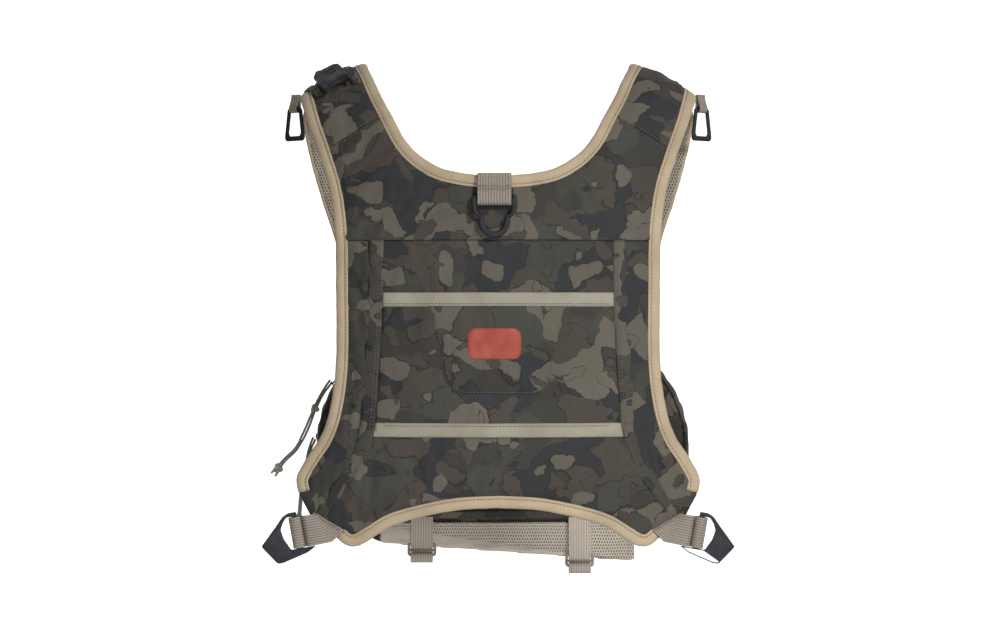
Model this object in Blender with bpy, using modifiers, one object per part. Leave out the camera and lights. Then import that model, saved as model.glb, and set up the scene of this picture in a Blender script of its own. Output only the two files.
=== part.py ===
"""Fishing vest: a harness back and shoulder straps that carry a chest pack.

The vest keeps the shape it has when it is worn.  +X is across the chest, the wearer faces +Y and
+Z is up.  The origin lies between the shoulders, on the line where the straps rest on them.
"""
import math

import bmesh
import bpy
from mathutils import Matrix, Vector

MM = 0.001

# --- driving dimensions ---------------------------------------------------------------------------
SHOULDER_RADIUS = 100 * MM      # how the straps roll over the shoulders
SHOULDER_TURN = 1.45            # radians turned before the cloth hangs straight
SHOULDER_TOP = 12.5 * MM        # strap tops above the resting line
CHEST_BULGE = 9 * MM            # outward swell between the yoke and the hem
HANG_LENGTH = 310 * MM          # straight part below the shoulders
GAP = 0.3 * MM                  # clearance between pieces that touch
SEAM = 1.4 * MM                 # clearance between cloth and its binding
CELLS = (35 * MM, 14 * MM)      # grid that bends flat cloth to the body, across and along
CLOTH = 2.4 * MM
TRIM = 1.4 * MM
BINDING_WIDTH = 10.5 * MM
BINDING_REACH = 3.0 * MM        # how far the binding wraps to the lining side
BINDING_RISE = 1.6 * MM
BAND_WIDTH = 12.5 * MM
TAPE_WIDTH = 11.5 * MM
WEBBING_WIDTH = 28 * MM
WEBBING = 1.4 * MM
YOKE_SEAM = -210.5 * MM         # distance down the cloth from the shoulder line
TAPE_TOP = -254 * MM
TAPE_BOTTOM = -361.5 * MM
LOOP_X = -3 * MM

# Cloth coordinates: x across, s along the cloth (back negative, front positive).
NECK_EDGE = [(0, -157), (23, -156.2), (45.5, -151.5), (59, -144.5), (71, -134.5), (79.5, -122.5),
             (88.5, -103.5), (97.5, -83), (105, -58), (111.5, -30), (113, 0)]
ARM_EDGE = [(169, 0), (168.5, -40), (165.5, -75), (159.5, -108), (150, -138), (140.5, -168),
            (135.5, -205), (134.5, -250), (134.5, -310), (139, -347), (146.5, -371),
            (157.5, -388), (166.5, -403), (169, -411), (167, -421)]
HEM_EDGE = [(134.5, -458), (127, -464), (116.3, -464.5), (102, -456), (86.5, -446.7),
            (61, -439), (33, -433.5), (0, -431.5)]
BAND_INNER = [(94.5, -210.8), (95, -252), (96.5, -293), (98.3, -322), (101.5, -364), (108, -389.5),
              (118, -408), (128, -421), (137, -436), (145, -452)]
STRAP_OUTER = [(169, 0.6), (169.5, 40), (173, 80), (169, 125), (159, 165), (148, 200), (137.5, 240),
               (131, 280), (129, 314)]
STRAP_INNER = [(113, 0.6), (112, 50), (107, 100), (99, 150), (92, 195), (87, 240), (85.5, 280),
               (86, 314)]
SHOULDER_SEAM = ((91.5, -101), (150, -138.5))
CORNER_SEAM = ((127.5, -451), (151, -438))
CORNER_TIP = [(166, -422.5), (157, -439)]

# Chest pack: a stadium outline, with its ends turned about two centres.
PACK_END = 98 * MM
PACK_HALF = 70 * MM
PACK_Z = -320 * MM
PACK_X = 4 * MM
PACK_Y = 103 * MM
PACK_REAR = 46 * MM
PACK_FRONT = 34 * MM
ZIP_TAPE = 5 * MM
ZIP_INSET = 1.5 * MM
ZIP_Y = PACK_Y + PACK_REAR + GAP + ZIP_TAPE / 2
PAD = 6 * MM
ROUND = 5 * MM
POCKET = (214 * MM, 116 * MM)
POCKET_DEPTH = 12 * MM
POCKET_Z = -334 * MM
POCKET_ZIP = 150 * MM
POCKET_ZIP_Z = -294 * MM
PAD_SLANT = 0.071               # the lower pad's bottom edge falls this much towards the right
SLIDERS = {"upper": 147.5, "lower": 177}      # degrees round the pack's left end

# Pull cords, from the slider's bail to the tail; millimetres, chosen by hand.
CORD_ROUTES = {
    "upper": [(-155, 152, -263.5), (-163, 152, -275), (-170, 151, -289), (-178, 149, -309),
              (-187, 147, -326), (-198, 145, -337), (-208, 144, -350)],
    "lower": [(-170.5, 152, -316.5), (-175, 150, -328), (-178, 142, -346), (-181, 132, -366),
              (-182, 126, -382), (-183, 122, -395)],
}

# Hardware
RING_THICK = 3.4 * MM
HOOK_THICK = 3.4 * MM
ROLL_RADIUS = 6.2 * MM
ROLL_HOLE = 4.6 * MM
ROLL_LENGTH = 26 * MM
ROLL_TILT = math.radians(10)
CORD = 2.2 * MM
LASH_WIDTH = 20 * MM
LASH_ENDS = {"left": (-69 * MM, -421.2 * MM), "right": (73.5 * MM, -430.8 * MM)}
LASH_ROLL = 4.6 * MM
GLIDE_HEIGHT = 12 * MM
RING_END = Vector((0, -17 * MM))
RING_BEND = (13.5 * MM, 8.5 * MM)   # outer and inner radius of the net ring's round end
DOCK_WIDTH = 25 * MM
DOCK_NOTCH = 9.5 * MM
DOCK_THICK = 3.4 * MM
DOCK_PATCH = 6.4 * MM
DOCK_TURN = math.radians(15)

COLOURS = {
    "camo_cloth": ((0.062, 0.058, 0.050), 0.85, 0.0),
    "tan_binding": ((0.400, 0.320, 0.220), 0.80, 0.0),
    "khaki_tape": ((0.330, 0.305, 0.250), 0.80, 0.0),
    "taupe_webbing": ((0.240, 0.205, 0.170), 0.80, 0.0),
    "spacer_mesh": ((0.290, 0.255, 0.210), 0.90, 0.0),
    "black_plastic": ((0.035, 0.040, 0.052), 0.45, 0.0),
    "khaki_plastic": ((0.260, 0.230, 0.190), 0.50, 0.0),
    "khaki_cord": ((0.330, 0.310, 0.270), 0.80, 0.0),
    "zip_coil": ((0.130, 0.120, 0.100), 0.60, 0.0),
    "slider_metal": ((0.100, 0.098, 0.092), 0.40, 0.8),
    "orange_print": ((0.410, 0.070, 0.040), 0.60, 0.0),
}


def clear_scene():
    for obj in list(bpy.data.objects):
        bpy.data.objects.remove(obj, do_unlink=True)


def material(slot):
    found = bpy.data.materials.get(slot)
    if found:
        return found
    colour, roughness, metallic = COLOURS[slot]
    made = bpy.data.materials.new(slot)
    made.use_nodes = True
    shader = made.node_tree.nodes["Principled BSDF"]
    shader.inputs["Base Color"].default_value = (*colour, 1.0)
    shader.inputs["Roughness"].default_value = roughness
    shader.inputs["Metallic"].default_value = metallic
    made.diffuse_color = (*colour, 1.0)
    return made


def collection(name):
    made = bpy.data.collections.new(name)
    bpy.context.scene.collection.children.link(made)
    return made


# --- the body the cloth hangs on ------------------------------------------------------------------
def ease(t):
    t = min(1.0, max(0.0, t))
    return t * t * (3 - 2 * t)


def body_point(x, s):
    """Where cloth coordinate (x, s) lies on the worn shape."""
    side = 1 if s > 0 else -1
    run = abs(s)
    arc = SHOULDER_RADIUS * SHOULDER_TURN
    turn = min(run, arc) / SHOULDER_RADIUS
    y = SHOULDER_RADIUS * math.sin(turn)
    z = SHOULDER_TOP - SHOULDER_RADIUS * (1 - math.cos(turn))
    if run > arc:
        z -= run - arc
        y += CHEST_BULGE * math.sin(math.pi * min((run - arc) / HANG_LENGTH, 1.0))
    below = ease(run / 0.14)
    y -= 1.2 * x * x * below                       # the back and chest are rounded across
    z -= 8.5 * max(0.0, abs(x) - 0.11) ** 2 * (1 - below)   # the shoulders slope outwards
    return Vector((x, side * y, z))


def body_axes(x, s):
    """Directions across, along (towards the front) and out of the cloth."""
    step = 0.5 * MM
    across = (body_point(x + step, s) - body_point(x - step, s)).normalized()
    if abs(s) < 2 * step:
        along = Vector((0, 1, 0))
    else:
        along = (body_point(x, s + step) - body_point(x, s - step)).normalized()
    out = across.cross(along).normalized()
    return across, out.cross(across).normalized(), out


def on_body(x, s, height):
    return body_point(x, s) + body_axes(x, s)[2] * height


def body_frame(x, s, height):
    across, along, out = body_axes(x, s)
    frame = Matrix((across, along, out)).transposed().to_4x4()
    frame.translation = on_body(x, s, height)
    return frame


# --- outlines -------------------------------------------------------------------------------------
def smooth_line(points, step=15 * MM):
    """Catmull-Rom curve through a few points, given in millimetres."""
    knots = [Vector(p) * MM for p in points]
    knots = [2 * knots[0] - knots[1]] + knots + [2 * knots[-1] - knots[-2]]
    line = []
    for a, b, c, d in zip(knots, knots[1:], knots[2:], knots[3:]):
        pieces = max(1, round((c - b).length / step))
        for i in range(pieces):
            t = i / pieces
            line.append(0.5 * (2 * b + (c - a) * t + (2 * a - 5 * b + 4 * c - d) * t * t
                               + (3 * b - a - 3 * c + d) * t ** 3))
    return line + [knots[-2]]


def offset_line(line, distance):
    """The same line moved to its left side by the distance."""
    moved = []
    for i, point in enumerate(line):
        run = (line[min(i + 1, len(line) - 1)] - line[max(i - 1, 0)]).normalized()
        moved.append(point + Vector((-run.y, run.x)) * distance)
    return moved


def mirrored(line):
    return [Vector((-p.x, p.y)) for p in line]


def part_of(line, *tests):
    """The stretch of a line where no test is negative, cut exactly at its ends."""
    for test in tests:
        kept = []
        for a, b in zip(line, line[1:]):
            at_a, at_b = test(a), test(b)
            if at_a >= 0:
                kept.append(a)
            if at_a * at_b < 0:
                kept.append(a + (b - a) * (at_a / (at_a - at_b)))
        if test(line[-1]) >= 0:
            kept.append(line[-1])
        line = kept
    return line


def side_of(seam, shift=0.0):
    """Signed distance above a straight seam, given by two points in millimetres."""
    a, b = (Vector(p) * MM for p in seam)
    run = (b - a).normalized()
    return lambda p: (p - a).dot(Vector((-run.y, run.x))) - shift


def arc(centre, radius, start, end, count):
    return [Vector((centre[0] + radius * math.cos(a), centre[1] + radius * math.sin(a)))
            for a in (start + (end - start) * i / count for i in range(count + 1))]


def rounded_box(width, height, radius, centre=(0, 0), count=3):
    w, h = width / 2 - radius, height / 2 - radius
    corners = [(w, -h, -0.5), (w, h, 0.0), (-w, h, 0.5), (-w, -h, 1.0)]
    return [p for x, y, turn in corners
            for p in arc((centre[0] + x, centre[1] + y), radius, turn * math.pi,
                         (turn + 0.5) * math.pi, count)]


def stadium(inset, count=14):
    radius = PACK_END - inset
    right = arc((PACK_HALF, 0), radius, -math.pi / 2, math.pi / 2, count)
    left = arc((-PACK_HALF, 0), radius, math.pi / 2, 3 * math.pi / 2, count)
    return right + left


# --- solids ---------------------------------------------------------------------------------------
def finish(obj, slot, smooth=True):
    obj.data.materials.clear()
    obj.data.materials.append(material(slot))
    for polygon in obj.data.polygons:
        polygon.use_smooth = smooth
    if obj.name not in VEST.objects:
        VEST.objects.link(obj)
    return obj


def mesh_object(name, mesh, slot, matrix=Matrix.Identity(4), smooth=True):
    obj = bpy.data.objects.new(name, mesh)
    obj.matrix_world = matrix
    return finish(obj, slot, smooth)


def cloth(name, outline, slot, low, high):
    """Cloth cut to a flat outline and bent over the body, lying between two heights."""
    bm = bmesh.new()
    bm.faces.new([bm.verts.new((p.x, p.y, 0)) for p in outline])
    for axis in (0, 1):
        normal = [0, 0, 0]
        normal[axis] = 1
        values = [p[axis] for p in outline]
        cell = CELLS[axis]
        for step in range(math.ceil(min(values) / cell), math.floor(max(values) / cell) + 1):
            point = [0, 0, 0]
            point[axis] = step * cell
            bmesh.ops.bisect_plane(bm, geom=bm.verts[:] + bm.edges[:] + bm.faces[:], dist=1e-6,
                                   plane_co=point, plane_no=normal)
    bmesh.ops.remove_doubles(bm, verts=bm.verts, dist=0.05 * MM)
    bmesh.ops.triangulate(bm, faces=bm.faces[:])
    for face in bm.faces:
        if face.normal.z < 0:
            face.normal_flip()
    for vert in bm.verts:
        vert.co = on_body(vert.co.x, vert.co.y, (low + high) / 2)
    mesh = bpy.data.meshes.new(name)
    bm.to_mesh(mesh)
    bm.free()
    obj = mesh_object(name, mesh, slot)
    shell = obj.modifiers.new("thickness", "SOLIDIFY")
    shell.thickness = high - low
    shell.offset = 0
    return obj


def plate(name, outlines, thickness, slot, matrix, edge=0.4 * MM):
    """Flat solid from closed outlines in its own XY plane; the first one is the rim."""
    curve = bpy.data.curves.new(name, "CURVE")
    curve.dimensions = "2D"
    curve.fill_mode = "BOTH"
    curve.extrude = thickness / 2 - edge
    curve.bevel_depth = edge
    curve.bevel_resolution = 0 if edge < 3 * MM else 1
    curve.offset = -edge
    for outline in outlines:
        spline = curve.splines.new("POLY")
        spline.points.add(len(outline) - 1)
        for point, place in zip(spline.points, outline):
            point.co = (place[0], place[1], 0, 1)
        spline.use_cyclic_u = True
    return from_curve(name, curve, slot, matrix)


def tube(name, points, diameter, slot, resolution=2, closed=False):
    curve = bpy.data.curves.new(name, "CURVE")
    curve.dimensions = "3D"
    curve.bevel_depth = diameter / 2
    curve.bevel_resolution = resolution
    curve.use_fill_caps = not closed
    spline = curve.splines.new("POLY")
    spline.points.add(len(points) - 1)
    for point, place in zip(spline.points, points):
        point.co = (*place, 1)
    spline.use_cyclic_u = closed
    return from_curve(name, curve, slot, Matrix.Identity(4))


def from_curve(name, curve, slot, matrix):
    """Turn a curve into a welded mesh object and drop the curve."""
    source = bpy.data.objects.new(name + "_curve", curve)
    bpy.context.scene.collection.objects.link(source)
    bpy.context.view_layer.update()
    evaluated = source.evaluated_get(bpy.context.evaluated_depsgraph_get())
    mesh = bpy.data.meshes.new_from_object(evaluated)
    mesh.name = name
    bpy.data.objects.remove(source)
    bm = bmesh.new()
    bm.from_mesh(mesh)
    bmesh.ops.remove_doubles(bm, verts=bm.verts, dist=0.01 * MM)
    bmesh.ops.recalc_face_normals(bm, faces=bm.faces)
    bm.to_mesh(mesh)
    bm.free()
    return mesh_object(name, mesh, slot, matrix, smooth=False)


def box(name, size, slot, matrix):
    mesh = bpy.data.meshes.new(name)
    bm = bmesh.new()
    bmesh.ops.create_cube(bm, size=1)
    bmesh.ops.scale(bm, vec=size, verts=bm.verts)
    bm.to_mesh(mesh)
    bm.free()
    return mesh_object(name, mesh, slot, matrix, smooth=False)


def combine(target, tool, operation):
    """Join or cut with a second object, which then goes."""
    bpy.context.view_layer.update()
    step = target.modifiers.new(operation.lower(), "BOOLEAN")
    step.operation = operation
    step.solver = "EXACT"
    step.object = tool
    bpy.context.view_layer.update()
    evaluated = target.evaluated_get(bpy.context.evaluated_depsgraph_get())
    mesh = bpy.data.meshes.new_from_object(evaluated)
    target.modifiers.clear()
    target.data = mesh
    bpy.data.objects.remove(tool)
    return target


def standing(x, y, z, lean=0.0):
    """A plate frame that stands upright: its X across, its Y up and its Z towards the back."""
    axes = Matrix(((1, 0, 0), (0, 0, -1), (0, 1, 0))).to_4x4()
    return Matrix.Translation((x, y, z)) @ Matrix.Rotation(lean, 4, "Y") @ axes


# --- heights of the cloth layers above the middle of the shell ------------------------------------
SHELL = (-CLOTH / 2, CLOTH / 2)
OUTSIDE = (CLOTH / 2 + GAP, CLOTH / 2 + GAP + TRIM)
LABEL = (OUTSIDE[1] + GAP, OUTSIDE[1] + GAP + 1 * MM)
PRINT = (LABEL[1] + GAP, LABEL[1] + GAP + 0.8 * MM)
LINING = (-CLOTH / 2 - GAP - TRIM, -CLOTH / 2 - GAP)
BINDING = (-BINDING_REACH, BINDING_RISE)

NECK = smooth_line(NECK_EDGE, 12 * MM)
ARM = smooth_line(ARM_EDGE)
HEM = smooth_line(HEM_EDGE, 8 * MM)
BAND_IN = smooth_line(BAND_INNER)


def right_and_left(name, outline, slot, layer):
    cloth(name + "_right", outline, slot, *layer)
    cloth(name + "_left", mirrored(outline)[::-1], slot, *layer)


def whole(half):
    """A full outline from its right half, whose ends lie on the middle line."""
    return half + [p for p in mirrored(half)[::-1] if p.x < -1e-6]


def strip(line, near, far):
    """Outline of the band between two offsets of a line."""
    return offset_line(line, near) + offset_line(line, far)[::-1]


def back_cloth():
    """Yoke, middle panel, side panels, back shoulders and the mesh lining behind them."""
    neck = offset_line(NECK, -BINDING_WIDTH - SEAM)
    arm = offset_line(ARM, -BINDING_WIDTH - SEAM)
    hem = offset_line(HEM, -BINDING_WIDTH - SEAM)
    seam = side_of(SHOULDER_SEAM)
    corner = side_of(CORNER_SEAM, -6 * MM)
    above_yoke = lambda p: p.y - YOKE_SEAM
    under_yoke = lambda p: YOKE_SEAM - GAP - p.y
    top = lambda p: -GAP - p.y

    above_seam = lambda p: seam(p) - GAP
    shoulder = part_of(neck, above_seam, top) + part_of(arm, above_seam, top)
    right_and_left("shoulder", shoulder, "camo_cloth", SHELL)

    yoke = part_of(neck, lambda p: -seam(p))
    yoke += part_of(arm, lambda p: -seam(p), above_yoke)
    yoke += [Vector((0, YOKE_SEAM))]
    cloth("back_yoke", whole(yoke), "camo_cloth", *SHELL)

    divide = offset_line(BAND_IN, BAND_WIDTH / 2)
    under_seam = lambda p: under_yoke(p) + 0.01 * MM
    middle = [Vector((0, YOKE_SEAM - GAP))]
    middle += part_of(offset_line(divide, -GAP / 2), under_seam, corner)
    middle += part_of(hem, corner)
    cloth("back_panel", whole(middle), "camo_cloth", *SHELL)

    side = part_of(offset_line(divide, GAP / 2), under_seam, corner)[::-1]
    side += part_of(arm, under_yoke, corner)
    side += [Vector(p) * MM for p in CORNER_TIP]
    right_and_left("side_panel", side, "camo_cloth", SHELL)

    lining = part_of(neck, top) + part_of(arm, top, corner)
    lining += part_of(hem, corner)
    cloth("back_lining", whole(lining), "spacer_mesh", *LINING)


def back_bindings():
    under_top = lambda p: -GAP - p.y
    neck_outer = part_of(NECK, under_top)
    neck_inner = part_of(offset_line(NECK, -BINDING_WIDTH), under_top)
    inner_left = mirrored(neck_inner)[::-1]
    outer_left = mirrored(neck_outer)[::-1]
    outline = inner_left + neck_inner[1:] + neck_outer[::-1] + outer_left[::-1][1:]
    cloth("neck_binding", outline, "tan_binding", *BINDING)
    arm = part_of(ARM, under_top)
    right_and_left("arm_binding", strip(arm, 0, -BINDING_WIDTH), "tan_binding", BINDING)
    hem_inner = offset_line(HEM, -BINDING_WIDTH)
    outline = HEM + mirrored(HEM)[::-1][1:] + mirrored(hem_inner) + hem_inner[::-1][1:]
    cloth("hem_binding", outline, "tan_binding", *BINDING)


def back_trims():
    """Side bands, the flat pocket with its two tapes, the patch under its mouth and a plain label."""
    corner = side_of(CORNER_SEAM)
    band = part_of(BAND_IN, lambda p: corner(p) - GAP)
    outer = part_of(offset_line(BAND_IN, BAND_WIDTH), lambda p: corner(p) - GAP)
    right_and_left("side_band", outer + band[::-1], "camo_cloth", OUTSIDE)

    between = offset_line(BAND_IN, -GAP)
    rows = {
        "pocket_tape_upper": (TAPE_TOP, TAPE_TOP - TAPE_WIDTH, "khaki_tape"),
        "back_pocket": (TAPE_TOP - TAPE_WIDTH - GAP, TAPE_BOTTOM + GAP, "camo_cloth"),
        "pocket_tape_lower": (TAPE_BOTTOM, TAPE_BOTTOM - TAPE_WIDTH, "khaki_tape"),
    }
    for name, (high, low, slot) in rows.items():
        half = part_of(between, lambda p: high - p.y, lambda p: p.y - low)[::-1]
        half = [Vector((0, low))] + half + [Vector((0, high))]
        cloth(name, whole(half), slot, *OUTSIDE)

    top = TAPE_TOP - TAPE_WIDTH - 1 * MM
    half = [Vector(p) * MM for p in ((0, -337.5), (27, -337.5), (35, -335), (41, -327))]
    half += [Vector((56 * MM, top)), Vector((0, top))]
    cloth("pocket_patch", whole(half), "camo_cloth", *LABEL)
    label = rounded_box(44 * MM, 26 * MM, 6 * MM, (-3 * MM, -296 * MM))
    cloth("plain_label", [Vector(p) for p in label], "orange_print", *PRINT)


def webbing_loop(name, length, opening, width, slot, matrix, back=1.2 * MM):
    """A flat webbing tongue sewn shut above an eye for a bar; its eye lies at the frame's origin.

    The profile lies in the frame's YZ plane and runs up +Y; the width is along X.
    """
    depth = opening / 2 + back
    outer = arc((0, 0), depth, math.pi, 2 * math.pi, 8)
    outer += [Vector((depth, length * 0.45)), Vector((back / 2, length * 0.62))]
    outer += [Vector((back / 2, length)), Vector((-depth, length)), Vector((-depth, 0))]
    inner = arc((0, 0), opening / 2, 0, 2 * math.pi, 16)[:-1]
    turned = matrix @ Matrix(((0, 0, 1), (0, 1, 0), (-1, 0, 0))).to_4x4()
    return plate(name, [outer[:-1], inner], width, slot, turned, edge=0.2 * MM)


def neck_ring():
    """Webbing loop on the neck binding and the D-shaped net ring that swings in it."""
    eye = 5.2 * MM
    height = BINDING_RISE + GAP + 1.2 * MM + eye / 2
    frame = body_frame(LOOP_X, -179 * MM, height)
    webbing_loop("neck_loop", 25 * MM, eye, WEBBING_WIDTH, "taupe_webbing", frame)
    outer = [Vector((-18.5 * MM, -8 * MM))]
    outer += arc((-17 * MM, 3.2 * MM), 1.5 * MM, math.pi, math.pi / 2, 3)
    outer = outer + [Vector((-p.x, p.y)) for p in outer[::-1]]
    outer += arc(RING_END, RING_BEND[0], -math.radians(12), -math.radians(168), 10)
    inner = [Vector((-14.6 * MM, -8 * MM)), Vector((-14.6 * MM, -1.7 * MM))]
    inner = inner + [Vector((-p.x, p.y)) for p in inner[::-1]]
    inner += arc(RING_END, RING_BEND[1], -math.radians(12), -math.radians(168), 10)
    ring = plate("net_ring", [outer, inner], RING_THICK, "black_plastic", frame, edge=1 * MM)
    trim = box("ring_trim", (29.2 * MM, 6 * MM, 8 * MM), "black_plastic",
               frame @ Matrix.Translation((0, 4.7 * MM, 0)))
    combine(ring, trim, "DIFFERENCE")
    return ring


def corner_hooks():
    """Webbing at the lower corners, rolled round the bar of a flat hook plate."""
    for side, word in ((1, "right"), (-1, "left")):
        centre = Vector((side * 167.5 * MM, 0, -384 * MM))
        centre.y = body_point(0.16, CORNER_SEAM[1][1] * MM).y - 6 * MM
        tilt = Matrix.Rotation(side * ROLL_TILT, 4, "Y")
        frame = Matrix.Translation(centre) @ tilt @ standing(0, 0, 0)
        roll_turn = Matrix.Rotation(math.pi / 2, 4, "X")
        hem_a, hem_b = (on_body(side * p[0] * MM, p[1] * MM, OUTSIDE[0]) for p in CORNER_SEAM)
        roll_end = ROLL_LENGTH / 2
        near = ROLL_RADIUS - TRIM
        corners = [hem_a, hem_b, frame @ Vector((-side * 2 * MM, roll_end, near)),
                   frame @ Vector((-side * 2 * MM, -roll_end, near))]
        strap = slab(f"corner_strap_{word}", corners, TRIM, Vector((0, -1, 0)), "taupe_webbing")
        roll = round_bar("roll", ROLL_RADIUS, ROLL_LENGTH, "taupe_webbing", frame @ roll_turn)
        combine(strap, roll, "UNION")
        bore = round_bar("bore", ROLL_HOLE, ROLL_LENGTH * 1.4, "taupe_webbing", frame @ roll_turn)
        combine(strap, bore, "DIFFERENCE")
        outer = [(-2, 17), (5, 17), (10, 14.8), (15, 9.5), (31.6, -6.7), (20.5, -23.1), (16, -23.3),
                 (-6, -18), (-12.6, -14.4), (-12.2, -13.6), (-2, -13.6)]
        window = [(2, 13.6), (7, 13.6), (11, 9), (13.4, 4), (12, -4), (7.4, -13.6), (2, -13.6)]
        outlines = [[Vector((side * x, y)) * MM for x, y in line] for line in (outer, window)]
        plate(f"hook_{word}", outlines, HOOK_THICK, "black_plastic", frame)


def slab(name, corners, thickness, direction, slot):
    """A four-cornered piece of flat webbing, thickened to one side."""
    bm = bmesh.new()
    low = [bm.verts.new(c) for c in corners]
    high = [bm.verts.new(c + direction * thickness) for c in corners]
    bm.faces.new((low[0], low[1], low[2]))
    bm.faces.new((low[0], low[2], low[3]))
    bm.faces.new((high[2], high[1], high[0]))
    bm.faces.new((high[3], high[2], high[0]))
    for i in range(4):
        j = (i + 1) % 4
        bm.faces.new((low[j], low[i], high[i], high[j]))
    bmesh.ops.recalc_face_normals(bm, faces=bm.faces)
    mesh = bpy.data.meshes.new(name)
    bm.to_mesh(mesh)
    bm.free()
    return mesh_object(name, mesh, slot, smooth=False)


def round_bar(name, radius, length, slot, matrix):
    mesh = bpy.data.meshes.new(name)
    bm = bmesh.new()
    bmesh.ops.create_cone(bm, cap_ends=True, segments=24, radius1=radius, radius2=radius, depth=length)
    bm.to_mesh(mesh)
    bm.free()
    return mesh_object(name, mesh, slot, matrix, smooth=False)


def shoulder_dock():
    """Slotted plastic dock on the left shoulder, held by a cloth tunnel along each side."""
    centre = Vector((-140 * MM, -47 * MM))
    turn = Matrix.Rotation(DOCK_TURN, 2)
    bottom = BINDING_RISE + GAP
    frame = body_frame(centre.x, centre.y, bottom + DOCK_THICK / 2 + GAP)
    frame = frame @ Matrix.Rotation(DOCK_TURN, 4, "Z")
    half = DOCK_WIDTH / 2
    top, foot = 22 * MM, -27 * MM
    outline = [Vector((-7 * MM, top)), Vector((9 * MM, top))]
    outline += [Vector((half, top - 4 * MM)), Vector((half, foot))]
    outline += arc((0.5 * MM, foot), DOCK_NOTCH, 0, math.pi, 10)
    outline += [Vector((-half, foot)), Vector((-half, top - 7 * MM))]
    slots = [rounded_box(6.5 * MM, 2.6 * MM, 1.2 * MM, (3 * MM, y * MM), 2) for y in (5, 12)]
    plate("shoulder_dock", [outline] + slots, DOCK_THICK, "black_plastic", frame)
    for word, side in (("outer", -1), ("inner", 1)):
        offset = side * (half + GAP + DOCK_PATCH / 2)
        patch = rounded_box(DOCK_PATCH, 46 * MM, 1.5 * MM, (offset, 0), 2)
        patch = [centre + turn @ p for p in patch]
        cloth(f"dock_patch_{word}", patch, "camo_cloth", bottom, bottom + TRIM)


# --- front half -----------------------------------------------------------------------------------
def front_straps():
    """Straps that come over the shoulders and down to the pack, with a mesh lining."""
    outer = smooth_line(STRAP_OUTER)
    inner = smooth_line(STRAP_INNER)
    rim = BINDING_WIDTH - 2 * MM
    cloth_outer = offset_line(outer, rim + SEAM)
    cloth_inner = offset_line(inner, -rim - SEAM)
    outline = cloth_outer + cloth_inner[::-1]
    right_and_left("front_strap", outline, "camo_cloth", SHELL)
    right_and_left("strap_mesh", outline, "spacer_mesh", LINING)
    right_and_left("strap_binding_outer", outer + offset_line(outer, rim)[::-1], "tan_binding", BINDING)
    right_and_left("strap_binding_inner", strip(inner, -rim, 0), "tan_binding", BINDING)


def tool_rings():
    """A flat ring hanging in a small webbing loop at the outer edge of each front strap."""
    eye = 4.6 * MM
    for side, word in ((1, "right"), (-1, "left")):
        place = Vector((side * 179.5 * MM, 44 * MM, -21 * MM))
        frame = Matrix.Translation(place) @ Matrix.Rotation(side * math.radians(38), 4, "Z")
        frame = frame @ standing(0, 0, 0)
        webbing_loop(f"ring_loop_{word}", 13 * MM, eye, 9 * MM, "taupe_webbing", frame, 1 * MM)
        outer = [(-6.4, 2.8), (6.4, 2.8), (8.2, 1), (11.5, -25), (10, -28), (-10, -28), (-11.5, -25),
                 (-8.2, 1)]
        eye_hole = [(-4.9, -1.5), (4.9, -1.5), (7.6, -21), (6.2, -23.6), (-6.2, -23.6), (-7.6, -21)]
        outlines = [[Vector(p) * MM for p in line] for line in (outer, eye_hole)]
        ring = plate(f"tool_ring_{word}", outlines, 2.8 * MM, "black_plastic", frame)
        trim = box("ring_trim", (9.8 * MM, 4 * MM, 8 * MM), "black_plastic",
                   frame @ Matrix.Translation((0, 3.4 * MM, 0)))
        combine(ring, trim, "DIFFERENCE")


def pack_shells():
    """Rear and front compartments, the zip between them and a flat pocket on the front."""
    y = PACK_Y + PACK_REAR / 2
    plate("pack_rear", [stadium(0)], PACK_REAR, "camo_cloth", standing(PACK_X, y, PACK_Z), edge=ROUND)
    plate("pack_zip_tape", [stadium(ZIP_INSET)], ZIP_TAPE, "zip_coil", standing(PACK_X, ZIP_Y, PACK_Z))
    y = ZIP_Y + ZIP_TAPE / 2 + GAP + PACK_FRONT / 2
    plate("pack_front", [stadium(2 * MM)], PACK_FRONT, "camo_cloth",
          standing(PACK_X, y, PACK_Z), edge=8 * MM)
    y += PACK_FRONT / 2 + GAP
    flat = rounded_box(*POCKET, 18 * MM, count=4)
    plate("front_pocket", [flat], POCKET_DEPTH, "camo_cloth",
          standing(PACK_X, y + POCKET_DEPTH / 2, POCKET_Z), edge=5 * MM)
    y += POCKET_DEPTH + GAP
    plate("front_pocket_zip", [rounded_box(POCKET_ZIP, 8 * MM, 1 * MM)], 1.6 * MM, "zip_coil",
          standing(PACK_X, y + 0.8 * MM, POCKET_ZIP_Z))
    y += 1.6 * MM + GAP
    start = PACK_X - POCKET_ZIP / 2 + 8 * MM
    frame = standing(start, y + 1.6 * MM, POCKET_ZIP_Z) @ Matrix.Rotation(math.pi, 4, "Y")
    zip_slider("pocket_slider", frame)


def zip_slider(name, frame):
    """Slider body with a small bail on it; the frame's Z points away from the zip."""
    slider = plate(name, [rounded_box(11 * MM, 8 * MM, 2 * MM)], 3.2 * MM, "slider_metal", frame)
    wire = [frame @ Vector((3 * MM * math.cos(a), 0, 1.2 * MM + 3 * MM * math.sin(a)))
            for a in (math.pi * i / 8 for i in range(9))]
    bail = tube("bail", wire, 1.4 * MM, "slider_metal", resolution=1)
    return combine(slider, bail, "UNION")


def zip_frame(angle):
    """Frame on the rim of the pack's left end, its Z pointing away from the turning centre."""
    radius = PACK_END - ZIP_INSET + GAP + 1.9 * MM
    centre = Vector((PACK_X - PACK_HALF, ZIP_Y, PACK_Z))
    out = Vector((math.cos(angle), 0, math.sin(angle)))
    along = Vector((-out.z, 0, out.x))
    frame = Matrix((along, out.cross(along), out)).transposed().to_4x4()
    frame.translation = centre + out * radius
    return frame


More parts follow.
